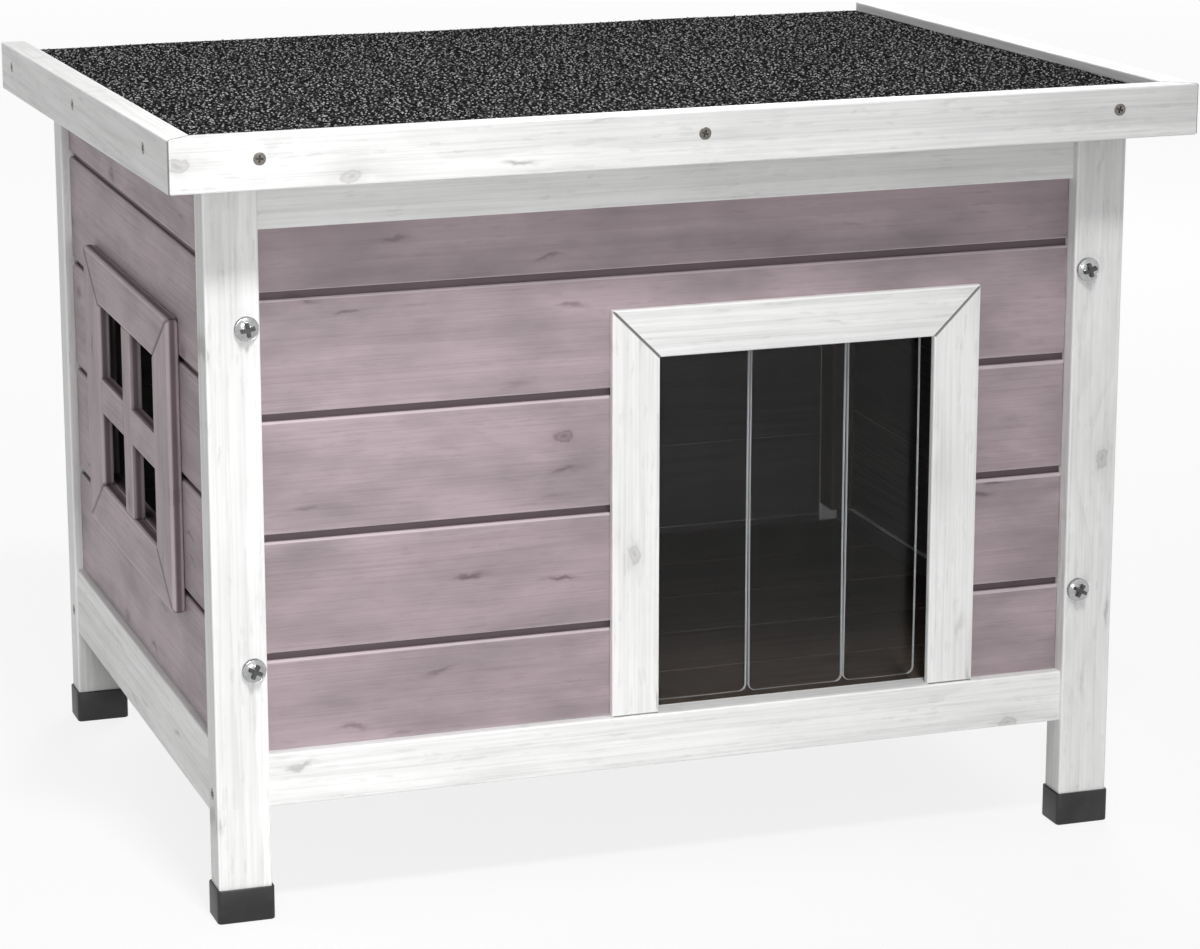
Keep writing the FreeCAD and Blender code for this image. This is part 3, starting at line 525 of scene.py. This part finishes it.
# %% The metal materials
def plated(name, dark, light, rough):
    """Plated steel, mottled between two tones."""
    material, shader, wires = new_material(name)
    place = wires.place()
    mottle = wires.noise(place, scale=420.0, detail=3.0)
    crystal = wires.split(wires.cells(place, scale=900.0)["Color"])[0]
    wires.fill_all(shader, {
        "Base Color": wires.mix(mottle, dark, light),
        "Metallic": 1.0,
        "Roughness": wires.times_add(crystal, 0.14, rough),
        "Normal": wires.bump(mottle, strength=0.15, distance=0.1 * MM)})
    return material


zinc_plate = plated("zinc_plate", dark=(0.30, 0.31, 0.32), light=(0.55, 0.55, 0.54), rough=0.16)
screw_steel = plated("screw_steel", dark=(0.12, 0.108, 0.095), light=(0.30, 0.275, 0.245), rough=0.24)
# Painted shade: the cross recesses get a darker metal for the shade in them.
recess_painted_shade = plated("recess_painted_shade", dark=(0.05, 0.05, 0.052), light=(0.14, 0.14, 0.14), rough=0.45)
for node in ("hinge_wall_leaves", "hinge_roof_leaves", "hinge_pins"):
    frame["nodes"][node].data.materials.clear()
    frame["nodes"][node].data.materials.append(zinc_plate)
print("zinc plate on the hinges")

# %% [markdown]
# ## Bolts and screws
# Each post is drawn up by two pan head bolts, and small countersunk screws hold the fascia boards, the rails
# and the hinges. All of them have a cross recess. They repeat, so a Geometry Nodes tree makes them: it turns
# a cone into a head, sinks a cross into it, and sets a copy on every point, turned by a seeded random angle
# as a driver would leave it. The tree is built once for each metal. The points and the way each fastener
# faces are read from the CAD screws.

# %% Parts of a fastener
HEAD_SIDES = 40
SHANK_SIDES = 20
CROWN_POWER = 3.0


def raised(wires, geometry, height):
    return wires.make("GeometryNodeTransform", {"Geometry": geometry, "Translation": wires.join(z=height)})


def fastener_head(wires, given, metal):
    """A cone whose top falls away towards the rim."""
    cone = wires.add("GeometryNodeMeshCone", {
        "Vertices": HEAD_SIDES, "Side Segments": 2, "Fill Segments": 8, "Radius Top": given["Head Radius"],
        "Radius Bottom": given["Under Radius"], "Depth": given["Head Height"]}).outputs
    low = raised(wires, cone["Mesh"], wires.times(given["Head Height"], -1.0))
    x, y = wires.split(wires.make("GeometryNodeInputPosition"))[:2]
    out = wires.length(wires.join(x, y))
    share = wires.maths("POWER", wires.maths("DIVIDE", out, given["Head Radius"]), CROWN_POWER)
    drop = wires.times(wires.times(share, given["Crown"]), -1.0)
    domed = wires.make("GeometryNodeSetPosition", {
        "Geometry": low, "Selection": cone["Top"], "Offset": wires.join(z=drop)})
    smooth = wires.make("GeometryNodeSetShadeSmooth", {"Geometry": domed, "Selection": cone["Top"]})
    return wires.make("GeometryNodeSetMaterial", {"Geometry": smooth, "Material": metal})


def fastener_shank(wires, given):
    length = wires.maths("SUBTRACT", given["Length"], given["Head Height"])
    shank = wires.make("GeometryNodeMeshCylinder", {
        "Vertices": SHANK_SIDES, "Side Segments": 1, "Fill Segments": 1, "Radius": given["Shank Radius"],
        "Depth": length}, "Mesh")
    middle = wires.maths("SUBTRACT", wires.times(length, -0.5), given["Head Height"])
    return raised(wires, shank, middle)


def cross_recess(wires, given, shaded):
    """Two crossing bars, as deep below the head's top as they stand above it."""
    depth = wires.times(given["Recess Depth"], 2.0)
    cross = wires.add("GeometryNodeMeshBoolean", operation="UNION", solver="EXACT")
    for first, second in (("Recess Reach", "Recess Width"), ("Recess Width", "Recess Reach")):
        size = wires.join(given[first], given[second], depth)
        wires.fill(cross.inputs[1], wires.make("GeometryNodeMeshCube", {"Size": size}))
    # The recess takes the darker metal, as painted shade.
    return wires.make("GeometryNodeSetMaterial", {"Geometry": cross.outputs[0], "Material": shaded})


print("heads with", HEAD_SIDES, "sides")

# %% The trees that make driven fasteners
FASTENER_SIZES = ("Head Radius", "Under Radius", "Head Height", "Crown", "Shank Radius", "Length",
                  "Recess Reach", "Recess Width", "Recess Depth")


def new_tree(name, inputs, output):
    """A tree with named inputs, its wires and the sockets of those inputs."""
    tree = bpy.data.node_groups.new(name, "GeometryNodeTree")
    for label, kind in inputs.items():
        tree.interface.new_socket(label, in_out="INPUT", socket_type=f"NodeSocket{kind}")
    tree.interface.new_socket(output, in_out="OUTPUT", socket_type="NodeSocketGeometry")
    wires = Wiring(tree)
    return tree, wires, wires.add("NodeGroupInput").outputs


def fastener_tree(name, metal, shaded):
    """A tree that sets a driven fastener on every point, facing its own way."""
    sizes = {size: "Float" for size in FASTENER_SIZES}
    tree, wires, given = new_tree(name, {"Points": "Geometry", **sizes, "Turn Seed": "Int"}, "Fasteners")
    head = wires.make("GeometryNodeMeshBoolean", {
        0: fastener_head(wires, given, metal), 1: cross_recess(wires, given, shaded)},
        operation="DIFFERENCE", solver="EXACT")
    whole = wires.add("GeometryNodeJoinGeometry")
    for part in (head, fastener_shank(wires, given)):
        wires.fill(whole.inputs[0], part)

    # A cross looks the same after a quarter turn, so a random angle up to that is enough.
    facing = wires.make("GeometryNodeInputNamedAttribute", {"Name": "facing"}, data_type="FLOAT_VECTOR")
    aimed = wires.make("FunctionNodeAlignRotationToVector", {"Vector": facing}, axis="Z")
    up_to_quarter = {"Seed": given["Turn Seed"], 3: math.tau / 4}
    turn = wires.make("FunctionNodeRandomValue", up_to_quarter, 1, data_type="FLOAT")
    spin = wires.make("FunctionNodeAxisAngleToRotation", {"Axis": (0, 0, 1), "Angle": turn})
    rotation = wires.make("FunctionNodeRotateRotation", {0: aimed, 1: spin}, rotation_space="LOCAL")
    copies = wires.make("GeometryNodeInstanceOnPoints", {
        "Points": given["Points"], "Instance": whole.outputs[0], "Rotation": rotation})
    real = wires.make("GeometryNodeRealizeInstances", {"Geometry": copies})
    merged = wires.make("GeometryNodeMergeByDistance", {"Geometry": real, "Distance": NO_LENGTH})
    recess = wires.make("GeometryNodeMaterialSelection", {"Material": shaded})
    outside = wires.make("FunctionNodeBooleanMath", {0: recess}, operation="NOT")
    dressed = wires.make("GeometryNodeSetMaterial", {
        "Geometry": merged, "Selection": outside, "Material": metal})
    wires.add("NodeGroupOutput", {0: dressed})
    return tree


plated_fastener = fastener_tree("plated_fastener", zinc_plate, recess_painted_shade)
wood_fastener = fastener_tree("wood_fastener", screw_steel, recess_painted_shade)
print("fastener trees:", len(plated_fastener.nodes), "nodes each")

# %% [markdown]
# A screw's head faces away from the house along the screw's own length, so its box says where the head is.
# The screws of the roof leaves are the exception: they go up into the deck, so they face down.

# %% Find the heads
def boxes_of(node):
    """The box of each connected solid of a CAD node, in a fixed order."""
    shape = bmesh.new()
    shape.from_mesh(frame["nodes"][node].data)
    bmesh.ops.remove_doubles(shape, verts=shape.verts, dist=SAME_POINT)
    boxes = []
    left = set(shape.verts)
    while left:
        part = set()
        waiting = {left.pop()}
        while waiting:
            vertex = waiting.pop()
            part.add(vertex)
            waiting |= {edge.other_vert(vertex) for edge in vertex.link_edges} - part
        left -= part
        boxes.append(box_of([vertex.co for vertex in part]))
    shape.free()
    return sorted(boxes, key=lambda box: tuple(box[0]))


def heads(node, facing=None):
    """Place and direction of each fastener's head in a CAD node."""
    found = []
    for low, high in boxes_of(node):
        middle = (low + high) / 2
        axis = max(range(3), key=lambda index: high[index] - low[index])
        way = facing or (1 if middle[axis] > 0 else -1)
        tip = middle.copy()
        tip[axis] = high[axis] if way > 0 else low[axis]
        direction = Vector((0, 0, 0))
        direction[axis] = way
        found.append((tip, direction))
    return sorted(found, key=lambda head: tuple(head[0]))


print(len(heads("frame_bolts")), "bolt heads found")

# %% Set the fasteners
BOLT = {"Head Radius": 6.5, "Under Radius": 6.5, "Head Height": 3.4, "Crown": 1.9, "Shank Radius": 2.5,
        "Length": 37.4, "Recess Reach": 7.6, "Recess Width": 1.9, "Recess Depth": 2.2}
WOOD_SCREW = {"Head Radius": 3.25, "Under Radius": 1.5, "Head Height": 1.75, "Crown": 0.0,
              "Shank Radius": 1.5, "Length": 30, "Recess Reach": 3.9, "Recess Width": 1.0,
              "Recess Depth": 1.2}
RAIL_SCREW = {**WOOD_SCREW, "Length": 44}
HINGE_SCREW = {"Head Radius": 2.4, "Under Radius": 1.25, "Head Height": 1.15, "Crown": 0.0,
               "Shank Radius": 1.25, "Length": 7.2, "Recess Reach": 2.9, "Recess Width": 0.8,
               "Recess Depth": 0.8}


def grow(name, mesh, tree, values):
    """An object with the plain mesh that a tree makes from another mesh."""
    maker = bpy.data.objects.new(f"{name}_maker", mesh)
    bpy.context.scene.collection.objects.link(maker)
    modifier = maker.modifiers.new(tree.name, "NODES")
    modifier.node_group = tree
    for item in tree.interface.items_tree:
        if item.name in values:
            modifier[item.identifier] = values[item.name]
    ready = maker.evaluated_get(bpy.context.evaluated_depsgraph_get())
    grown = bpy.data.objects.new(name, bpy.data.meshes.new_from_object(ready))
    maker.modifiers.clear()
    bpy.data.objects.remove(maker)
    grown.data.name = name
    return grown


def set_fasteners(name, node, tree, sizes, seed, facing=None):
    """Put a fastener on every head of a CAD node, as one plain mesh."""
    places = heads(node, facing)
    points = bpy.data.meshes.new(f"{name}_points")
    points.from_pydata([tip for tip, _ in places], [], [])
    directions = points.attributes.new("facing", "FLOAT_VECTOR", "POINT")
    for item, (_, direction) in zip(directions.data, places):
        item.vector = direction
    values = {size: value * MM for size, value in sizes.items()}
    piece = grow(name, points, tree, {**values, "Turn Seed": seed})
    print(name, len(places), "heads,", len(piece.data.polygons), "faces")
    return finish_piece(piece, [node])


set_fasteners("post_bolts", "frame_bolts", plated_fastener, BOLT, seed=4)
set_fasteners("rail_end_screws", "rail_screws", wood_fastener, RAIL_SCREW, seed=7)
set_fasteners("fascia_board_screws", "fascia_screws", wood_fastener, WOOD_SCREW, seed=11)
set_fasteners("wall_leaf_screws", "hinge_wall_screws", plated_fastener, HINGE_SCREW, seed=2)
set_fasteners("roof_leaf_screws", "hinge_roof_screws", plated_fastener, HINGE_SCREW, seed=3, facing=-1)

# %% [markdown]
# ## Mineral felt
# The roof is covered with bitumen felt: a black sheet dressed with crushed slate. The felt itself is a fine
# grid, a little uneven because it was laid by hand, with a speckled material. The larger flakes of slate lie
# on top of it, scattered by Geometry Nodes: many thousand eight-sided grains, each turned and sized at random
# from a fixed seed. The tree trims every grain to the box of the felt, so that none sticks out over an edge.

# %% The felt material
BITUMEN = (0.011, 0.011, 0.0115)
CHIP_TONES = [(0.0, (0.008, 0.008, 0.0085)), (0.64, (0.02, 0.02, 0.021)), (0.74, (0.034, 0.034, 0.035)),
              (1.0, (0.075, 0.075, 0.075))]
CHIP_SHIFT = (2.2 * MM, 2.2 * MM, 0)
CHIP_STRETCH = (1, 0.5, 1)
BARE_PATCHES = (130, 60, 60)


def mineral_felt():
    material, shader, wires = new_material("mineral_felt")
    place = wires.place()
    bent = wires.noise(place, scale=420.0, detail=2.0, output="Color")
    shifted = wires.vector("ADD", place, wires.spread(bent, CHIP_SHIFT))
    chips = wires.cells(wires.spread(shifted, CHIP_STRETCH), scale=460.0)
    lot = wires.split(chips["Color"])[0]
    patches = wires.noise(wires.spread(place, BARE_PATCHES), detail=3.0)
    covered = wires.ramp(patches, [(0.35, 0.35), (0.65, 1.0)])
    wires.fill_all(shader, {
        "Base Color": wires.mix(covered, BITUMEN, wires.ramp(lot, CHIP_TONES)),
        "Roughness": wires.times_add(lot, -0.2, 0.95),
        "Specular IOR Level": 0.0,
        "Normal": wires.bump(chips["Distance"], strength=0.8, distance=0.6 * MM, invert=True)})
    return material


felt_finish = mineral_felt()
print("felt finish:", felt_finish.name)

# %% Lay the felt
FELT_CELL = 6 * MM
FELT_SWELL = 0.7 * MM
felt_low, felt_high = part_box("roof_felt")
felt_points = [vertex.co for vertex in frame["nodes"]["roof_felt"].data.vertices]
felt_back = [point.z for point in felt_points if point.y > felt_high.y - MM]
felt_back_top = max(felt_back)
felt_thick = felt_back_top - min(felt_back)


def felt_height(x, y):
    """Height of the felt's upper face: a plane that falls to the back, a little hollow here and there."""
    share = (y - felt_low.y) / (felt_high.y - felt_low.y)
    plane = felt_high.z + share * (felt_back_top - felt_high.z)
    wave = math.sin(x * 23 + 1.3) * math.sin(y * 31 + 0.4) + 0.6 * math.sin(x * 57 + y * 41)
    return plane - FELT_SWELL * (0.5 + 0.3 * wave)


def fill_grid(shape, rows):
    """Faces between rows of vertices, each with the number of its column."""
    faces = []
    for lower, upper in zip(rows, rows[1:]):
        for column in range(len(lower) - 1):
            corners = (lower[column], lower[column + 1], upper[column + 1], upper[column])
            faces.append((column, shape.faces.new(corners)))
    return faces


def lay_felt():
    columns = round((felt_high.x - felt_low.x) / FELT_CELL)
    rows = round((felt_high.y - felt_low.y) / FELT_CELL)
    xs = [felt_low.x + (felt_high.x - felt_low.x) * column / columns for column in range(columns + 1)]
    ys = [felt_low.y + (felt_high.y - felt_low.y) * row / rows for row in range(rows + 1)]
    shape = bmesh.new()
    fill_grid(shape, [[shape.verts.new((x, y, felt_height(x, y))) for x in xs] for y in ys])
    sheet = bmesh.ops.extrude_face_region(shape, geom=shape.faces[:])
    for item in sheet["geom"]:
        if isinstance(item, bmesh.types.BMVert):
            item.co.z -= felt_thick - FELT_SWELL
    bmesh.ops.recalc_face_normals(shape, faces=shape.faces)
    return shape


felt = as_piece(lay_felt(), "felt_sheet", [felt_finish], ["roof_felt"])
print("felt:", len(felt.data.polygons), "faces")

# %% The slate material
SLATE_TONES = [(0.0, (0.03, 0.03, 0.031)), (0.4, (0.175, 0.175, 0.177)), (1.0, (0.53, 0.53, 0.53))]
SLATE_LAYERS = (900, 900, 3000)


def slate_flakes():
    """Grey slate: each flake has its own tone, split along its layers."""
    material, shader, wires = new_material("slate_flakes")
    place = wires.place()
    tone = wires.split(wires.cells(place, scale=420.0)["Color"])[1]
    layers = wires.noise(wires.spread(place, SLATE_LAYERS), detail=2.0)
    wires.fill_all(shader, {
        "Base Color": wires.ramp(tone, SLATE_TONES),
        "Roughness": wires.times_add(layers, 0.25, 0.6),
        "Specular IOR Level": 0.1})
    return material


slate_finish = slate_flakes()
print("slate finish:", slate_finish.name)

# %% The tree that scatters slate
UPWARD = 0.9
FLAKE_TILT = 0.6
SMALL_FLAKE = (0.7, 0.5, 0.5)
LARGE_FLAKE = (1.3, 1.0, 0.9)


def slate_tree(material):
    """A tree that scatters flakes on the upper face of the felt and trims them to its box."""
    tree, wires, given = new_tree("scattered_slate", {
        "Felt": "Geometry", "Density": "Float", "Flake Radius": "Float", "Seed": "Int",
        "Low Corner": "Vector", "High Corner": "Vector"}, "Flakes")
    upper = wires.maths("GREATER_THAN", wires.split(wires.make("GeometryNodeInputNormal"))[2], UPWARD)
    spots = wires.make("GeometryNodeDistributePointsOnFaces", {
        "Mesh": given["Felt"], "Selection": upper, "Density": given["Density"], "Seed": given["Seed"]})
    flake = wires.make("GeometryNodeMeshUVSphere", {
        "Segments": 4, "Rings": 2, "Radius": given["Flake Radius"]})

    def between(low, high):
        inputs = {0: low, 1: high, "Seed": given["Seed"]}
        return wires.make("FunctionNodeRandomValue", inputs, data_type="FLOAT_VECTOR")

    copies = wires.make("GeometryNodeInstanceOnPoints", {
        "Points": spots, "Instance": flake,
        "Rotation": between((-FLAKE_TILT, -FLAKE_TILT, 0.0), (FLAKE_TILT, FLAKE_TILT, math.tau)),
        "Scale": between(SMALL_FLAKE, LARGE_FLAKE)})
    real = wires.make("GeometryNodeRealizeInstances", {"Geometry": copies})
    place = wires.make("GeometryNodeInputPosition")
    above_low = wires.vector("MAXIMUM", place, given["Low Corner"])
    inside = wires.vector("MINIMUM", above_low, given["High Corner"])
    trimmed = wires.make("GeometryNodeSetPosition", {"Geometry": real, "Position": inside})
    dressed = wires.make("GeometryNodeSetMaterial", {"Geometry": trimmed, "Material": material})
    wires.add("NodeGroupOutput", {0: dressed})
    return tree


scattered_slate = slate_tree(slate_finish)
print("slate tree:", len(scattered_slate.nodes), "nodes")

# %% Scatter the slate
FLAKES = {"Density": 80000.0, "Flake Radius": 0.85 * MM, "Seed": 5, "Low Corner": tuple(felt_low),
          "High Corner": tuple(felt_high)}
flakes = finish_piece(grow("felt_slate", felt.data.copy(), scattered_slate, FLAKES), ["roof_felt"])
print("slate:", len(flakes.data.polygons), "faces")

# %% [markdown]
# ## Leg caps
# A black plastic cup on each leg keeps the end grain out of the wet. It is a thin wall round a rounded
# rectangle, with a chamfer where it meets the ground and a rounded lip. It is lofted from one outline: each
# ring of the loft is drawn in by a little and set at its height.

# %% The plastic material
def black_plastic():
    material, shader, wires = new_material("black_plastic")
    place = wires.place()
    grain = wires.noise(place, scale=1500.0, detail=2.0)
    dust = wires.ramp(wires.noise(place, scale=60.0, detail=4.0), [(0.45, 0.0), (0.8, 1.0)])
    wires.fill_all(shader, {
        "Base Color": wires.mix(dust, (0.009, 0.0085, 0.009), (0.028, 0.027, 0.027)),
        "Roughness": wires.times_add(grain, 0.2, 0.38),
        "Normal": wires.bump(grain, strength=0.25, distance=0.1 * MM)})
    return material


cap_finish = black_plastic()
print("cap finish:", cap_finish.name)

# %% Loft the caps
CAP_CORNER = 2.4 * MM
SMALLEST_CORNER = 0.4 * MM
CAP_WALL = 1.2 * MM
CAP_FLOOR = 3 * MM
CORNER_STEPS = 6

# How far a ring is drawn in, and its height over the ground or its depth under the rim, in millimetres.
CAP_FOOT = ((0.9, 0.0), (0.25, 0.35), (0.0, 1.0))
CAP_LIP = ((0.0, 0.7), (0.2, 0.2), (0.6, 0.0))
LIP_DROP = 0.2 * MM


def rounded_outline(low, high, inset):
    """Points round a rectangle with round corners, drawn in by an inset."""
    radius = max(CAP_CORNER - inset, SMALLEST_CORNER)
    left, right = low.x + (inset + radius), high.x - (inset + radius)
    front, back = low.y + (inset + radius), high.y - (inset + radius)
    points = []
    for quarter, (x, y) in enumerate(((right, back), (left, back), (left, front), (right, front))):
        for step in range(CORNER_STEPS + 1):
            angle = math.radians(90) * (quarter + step / CORNER_STEPS)
            points.append((x + radius * math.cos(angle), y + radius * math.sin(angle)))
    return points


def loft_cap(shape, low, high):
    """A cup from its foot up the outside, over the lip and down to its floor."""
    rings = [(inset * MM, low.z + height * MM) for inset, height in CAP_FOOT]
    rings += [(inset * MM, high.z - depth * MM) for inset, depth in CAP_LIP]
    rings += [(CAP_WALL, high.z - LIP_DROP), (CAP_WALL, low.z + CAP_FLOOR)]
    lofted = [[shape.verts.new((x, y, height)) for x, y in rounded_outline(low, high, inset)]
              for inset, height in rings]
    for _, face in fill_grid(shape, [ring + ring[:1] for ring in lofted]):
        face.smooth = True
    shape.faces.new(reversed(lofted[0]))
    shape.faces.new(lofted[-1])


caps = bmesh.new()
cap_boxes = boxes_of("leg_caps")
for low, high in cap_boxes:
    loft_cap(caps, low, high)
as_piece(caps, "plastic_leg_caps", [cap_finish], ["leg_caps"])
print(len(cap_boxes), "leg caps lofted")

# %% [markdown]
# ## Clear strips
# The flap is soft clear sheet, cut into three strips so that each one swings by itself. Sheet off a roll
# never hangs quite flat: each strip keeps a slight curl across its width and a slow bow down its length. The
# cut edges are frosted, and it is mostly they that show, so they get a second material.

# %% The clear materials
SHEET_RIPPLE = (30, 1, 9)
SHEET_SMEARS = (40, 1, 14)
EDGE_CHATTER = (200, 200, 700)


def clear_sheet():
    material, shader, wires = new_material("clear_sheet")
    place = wires.place()
    ripple = wires.noise(wires.spread(place, SHEET_RIPPLE), detail=2.0)
    smeared = wires.noise(wires.spread(place, SHEET_SMEARS), detail=4.0)
    smears = wires.ramp(smeared, [(0.5, 0.0), (0.8, 1.0)])
    wires.fill_all(shader, {
        "Base Color": wires.mix(smears, (0.90, 0.91, 0.92), (0.82, 0.84, 0.86)),
        "Roughness": wires.times_add(smears, 0.10, 0.02),
        "Transmission Weight": 1.0,
        "IOR": 1.2,
        "Normal": wires.bump(ripple, strength=0.25, distance=1.0 * MM)})
    return material


def cut_edge():
    material, shader, wires = new_material("cut_edge")
    chatter = wires.noise(wires.spread(wires.place(), EDGE_CHATTER), detail=3.0)
    wires.fill_all(shader, {
        "Base Color": wires.mix(chatter, (0.58, 0.60, 0.62), (0.78, 0.79, 0.80)),
        "Roughness": wires.times_add(chatter, 0.3, 0.3),
        "Transmission Weight": 0.4,
        "IOR": 1.45})
    return material


clear_finish = clear_sheet()
edge_finish = cut_edge()
print("strip finishes:", clear_finish.name, edge_finish.name)

# %% Hang the strips
STRIP_COLUMNS = 12
CORNER_ROWS = 8
STRAIGHT_ROWS = 40
STRIP_ROWS = CORNER_ROWS + STRAIGHT_ROWS
STRIP_CURL = {"left": 0.7 * MM, "middle": -0.5 * MM, "right": 0.8 * MM}
STRIP_BOW = {"left": 0.5 * MM, "middle": 0.8 * MM, "right": -0.6 * MM}
STRIP_CORNER = 4 * MM
CUT_WIDTH = 0.5 * MM
CURL_LEVEL = 0.33


def strip_height(row, low, high):
    """Height of a row: close rows up the round corners, then even ones."""
    if row < CORNER_ROWS:
        return low + STRIP_CORNER * (1 - math.cos(row / CORNER_ROWS * math.pi / 2))
    return low + STRIP_CORNER + (row - CORNER_ROWS) / STRAIGHT_ROWS * (high - low - STRIP_CORNER)


def ways_across(half_width):
    """Places across a strip from -1 to 1, with a narrow column at each cut edge."""
    inside = 1 - CUT_WIDTH / half_width
    columns = STRIP_COLUMNS - 2
    return [-1.0] + [inside * (2 * column / columns - 1) for column in range(columns + 1)] + [1.0]


def strip_layer(shape, side, low, high, y):
    """Rows of vertices of one face of a strip, which would lie at y if the strip were flat."""
    rows = []
    for row in range(STRIP_ROWS + 1):
        z = strip_height(row, low.z, high.z)
        up = (z - low.z) / (high.z - low.z)
        cut = max(0.0, STRIP_CORNER - (z - low.z))
        narrow = STRIP_CORNER - math.sqrt(max(0.0, STRIP_CORNER ** 2 - cut ** 2))
        half_width = (high.x - low.x) / 2 - narrow
        bow = STRIP_BOW[side] * math.sin(up * math.pi)
        points = []
        for way in ways_across(half_width):
            x = (low.x + high.x) / 2 + way * half_width
            curl = STRIP_CURL[side] * (way ** 2 - CURL_LEVEL) * (1 - up)
            points.append(shape.verts.new((x, y + curl + bow, z)))
        rows.append(points)
    return rows


def rim_of(rows):
    """The vertices round a grid and back to the first: up, across, down and across."""
    up = [row[0] for row in rows]
    down = [row[-1] for row in reversed(rows)]
    return up + rows[-1][1:-1] + down + rows[0][-2::-1]


def hang_strip(side):
    """A thin curled sheet in the space of its CAD strip, with frosted edges."""
    low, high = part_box(f"flap_strip_{side}")
    thick = high.y - low.y
    middle = (low.y + high.y) / 2
    shape = bmesh.new()
    layers = [strip_layer(shape, side, low, high, middle + share * thick) for share in (-0.5, 0.5)]
    for rows in layers:
        for column, face in fill_grid(shape, rows):
            face.smooth = True
            face.material_index = 1 if column in (0, STRIP_COLUMNS - 1) else 0
    for _, face in fill_grid(shape, [rim_of(rows) for rows in layers]):
        face.material_index = 1
    bmesh.ops.recalc_face_normals(shape, faces=shape.faces)
    return shape


finishes = [clear_finish, edge_finish]
for side in STRIP_CURL:
    strip = as_piece(hang_strip(side), f"clear_strip_{side}", finishes, [f"flap_strip_{side}"])
    print(strip.name, len(strip.data.polygons), "faces")

# %% [markdown]
# ## Floor, light and camera
# The house stands on a plain pale floor, which fades to white far away, so that no horizon shows. The key
# lamp hangs high in front on the left, so that the overhang of the roof throws a short shadow on the posts. A
# weaker lamp near the camera draws the thin shadow line right under the fascia, a third one reaches the
# window wall, and a broad one behind the house lights its back and its far side. The white surroundings fill
# the rest. The lens is long, from a little to the left and above.

# %% Lay the floor
WHITE = (1.0, 1.0, 1.0, 1.0)
FLOOR_WHITE = 0.84
FLOOR_FADE = 4.0
FLOOR_SIZE = 30.0


def shown_rays(wires):
    """1 for the rays that show a surface: from the camera, off metal and through clear sheet."""
    rays = wires.add("ShaderNodeLightPath").outputs
    bounced = wires.maths("MAXIMUM", rays["Is Glossy Ray"], rays["Is Transmission Ray"])
    return wires.maths("MAXIMUM", rays["Is Camera Ray"], bounced)


def pale_floor():
    """A pale floor that shows nearly white, with its shadows left in, and white far away."""
    material, shader, wires = new_material("pale_floor")
    place = wires.place()
    mottle = wires.noise(place, scale=3.0, detail=3.0)
    wires.fill_all(shader, {
        "Base Color": wires.mix(mottle, (0.80, 0.80, 0.80), (0.84, 0.84, 0.84)),
        "Roughness": 0.9})
    white = wires.add("ShaderNodeEmission", {"Color": WHITE, "Strength": 1.0})
    away = wires.maths("DIVIDE", wires.length(place), FLOOR_FADE)
    whiter = wires.ramp(away, [(0.15, FLOOR_WHITE), (1.0, 1.0)])
    share = wires.times(shown_rays(wires), whiter)
    both = wires.add("ShaderNodeMixShader", {0: share, 1: shader.outputs[0], 2: white.outputs[0]})
    wires.fill(material.node_tree.nodes["Material Output"].inputs["Surface"], both.outputs[0])
    return material


bpy.ops.mesh.primitive_plane_add(size=FLOOR_SIZE, location=(0, 0, 0))
floor = bpy.context.object
floor.name = "studio_floor"
floor.data.materials.append(pale_floor())
print("floor", FLOOR_SIZE, "m wide")

# %% Light the studio
SURROUND = 0.3
world = bpy.data.worlds.new("studio")
bpy.context.scene.world = world
world.use_nodes = True
sky = Wiring(world.node_tree)
strength = sky.times_add(shown_rays(sky), 1.0 - SURROUND, SURROUND)
sky.fill_all(world.node_tree.nodes["Background"], {"Color": WHITE, "Strength": strength})


def hang_lamp(name, place, target, width, spread, power):
    """A square lamp aimed at a point, its light held to a cone."""
    light = bpy.data.lights.new(name, "AREA")
    light.energy = power
    light.size = width
    light.spread = math.radians(spread)
    stand = bpy.data.objects.new(name, light)
    stand.location = place
    aim = Vector(target) - Vector(place)
    stand.rotation_euler = aim.to_track_quat("-Z", "Y").to_euler()
    bpy.context.scene.collection.objects.link(stand)
    print(name, round(aim.length, 2), "m from the house")


hang_lamp("key_lamp", (-0.16, -1.38, 2.21), (-0.3, -0.15, 0.2), width=0.3, spread=54, power=3.7)
hang_lamp("front_lamp", (-0.42, -2.0, 0.62), (-0.3, -0.15, 0.16), width=0.3, spread=56, power=1.15)
hang_lamp("window_lamp", (-2.0, 0.05, 0.75), (-0.25, 0.0, 0.25), width=0.7, spread=100, power=0.8)
hang_lamp("back_lamp", (0.9, 1.7, 1.1), (0.05, 0.1, 0.25), width=0.9, spread=180, power=18.0)

# %% Set the camera
CAMERA_PLACE = Vector((-0.7084, -2.1328, 0.7604))
CAMERA_AZIMUTH = math.radians(-18.83)
CAMERA_ELEVATION = math.radians(14.48)
CAMERA_FOCAL_PIXELS = 3955
PICTURE_WIDTH = 1200

camera_data = bpy.data.cameras.new("camera")
camera_data.lens = camera_data.sensor_width * CAMERA_FOCAL_PIXELS / PICTURE_WIDTH
camera = bpy.data.objects.new("camera", camera_data)
camera_back = Vector((math.sin(CAMERA_AZIMUTH) * math.cos(CAMERA_ELEVATION),
                      -math.cos(CAMERA_AZIMUTH) * math.cos(CAMERA_ELEVATION), math.sin(CAMERA_ELEVATION)))
camera.location = CAMERA_PLACE
camera.rotation_euler = (-camera_back).to_track_quat("-Z", "Y").to_euler()
bpy.context.scene.collection.objects.link(camera)
bpy.context.scene.camera = camera
bpy.context.scene.view_settings.view_transform = "Standard"
print("lens", round(camera_data.lens, 1), "mm")
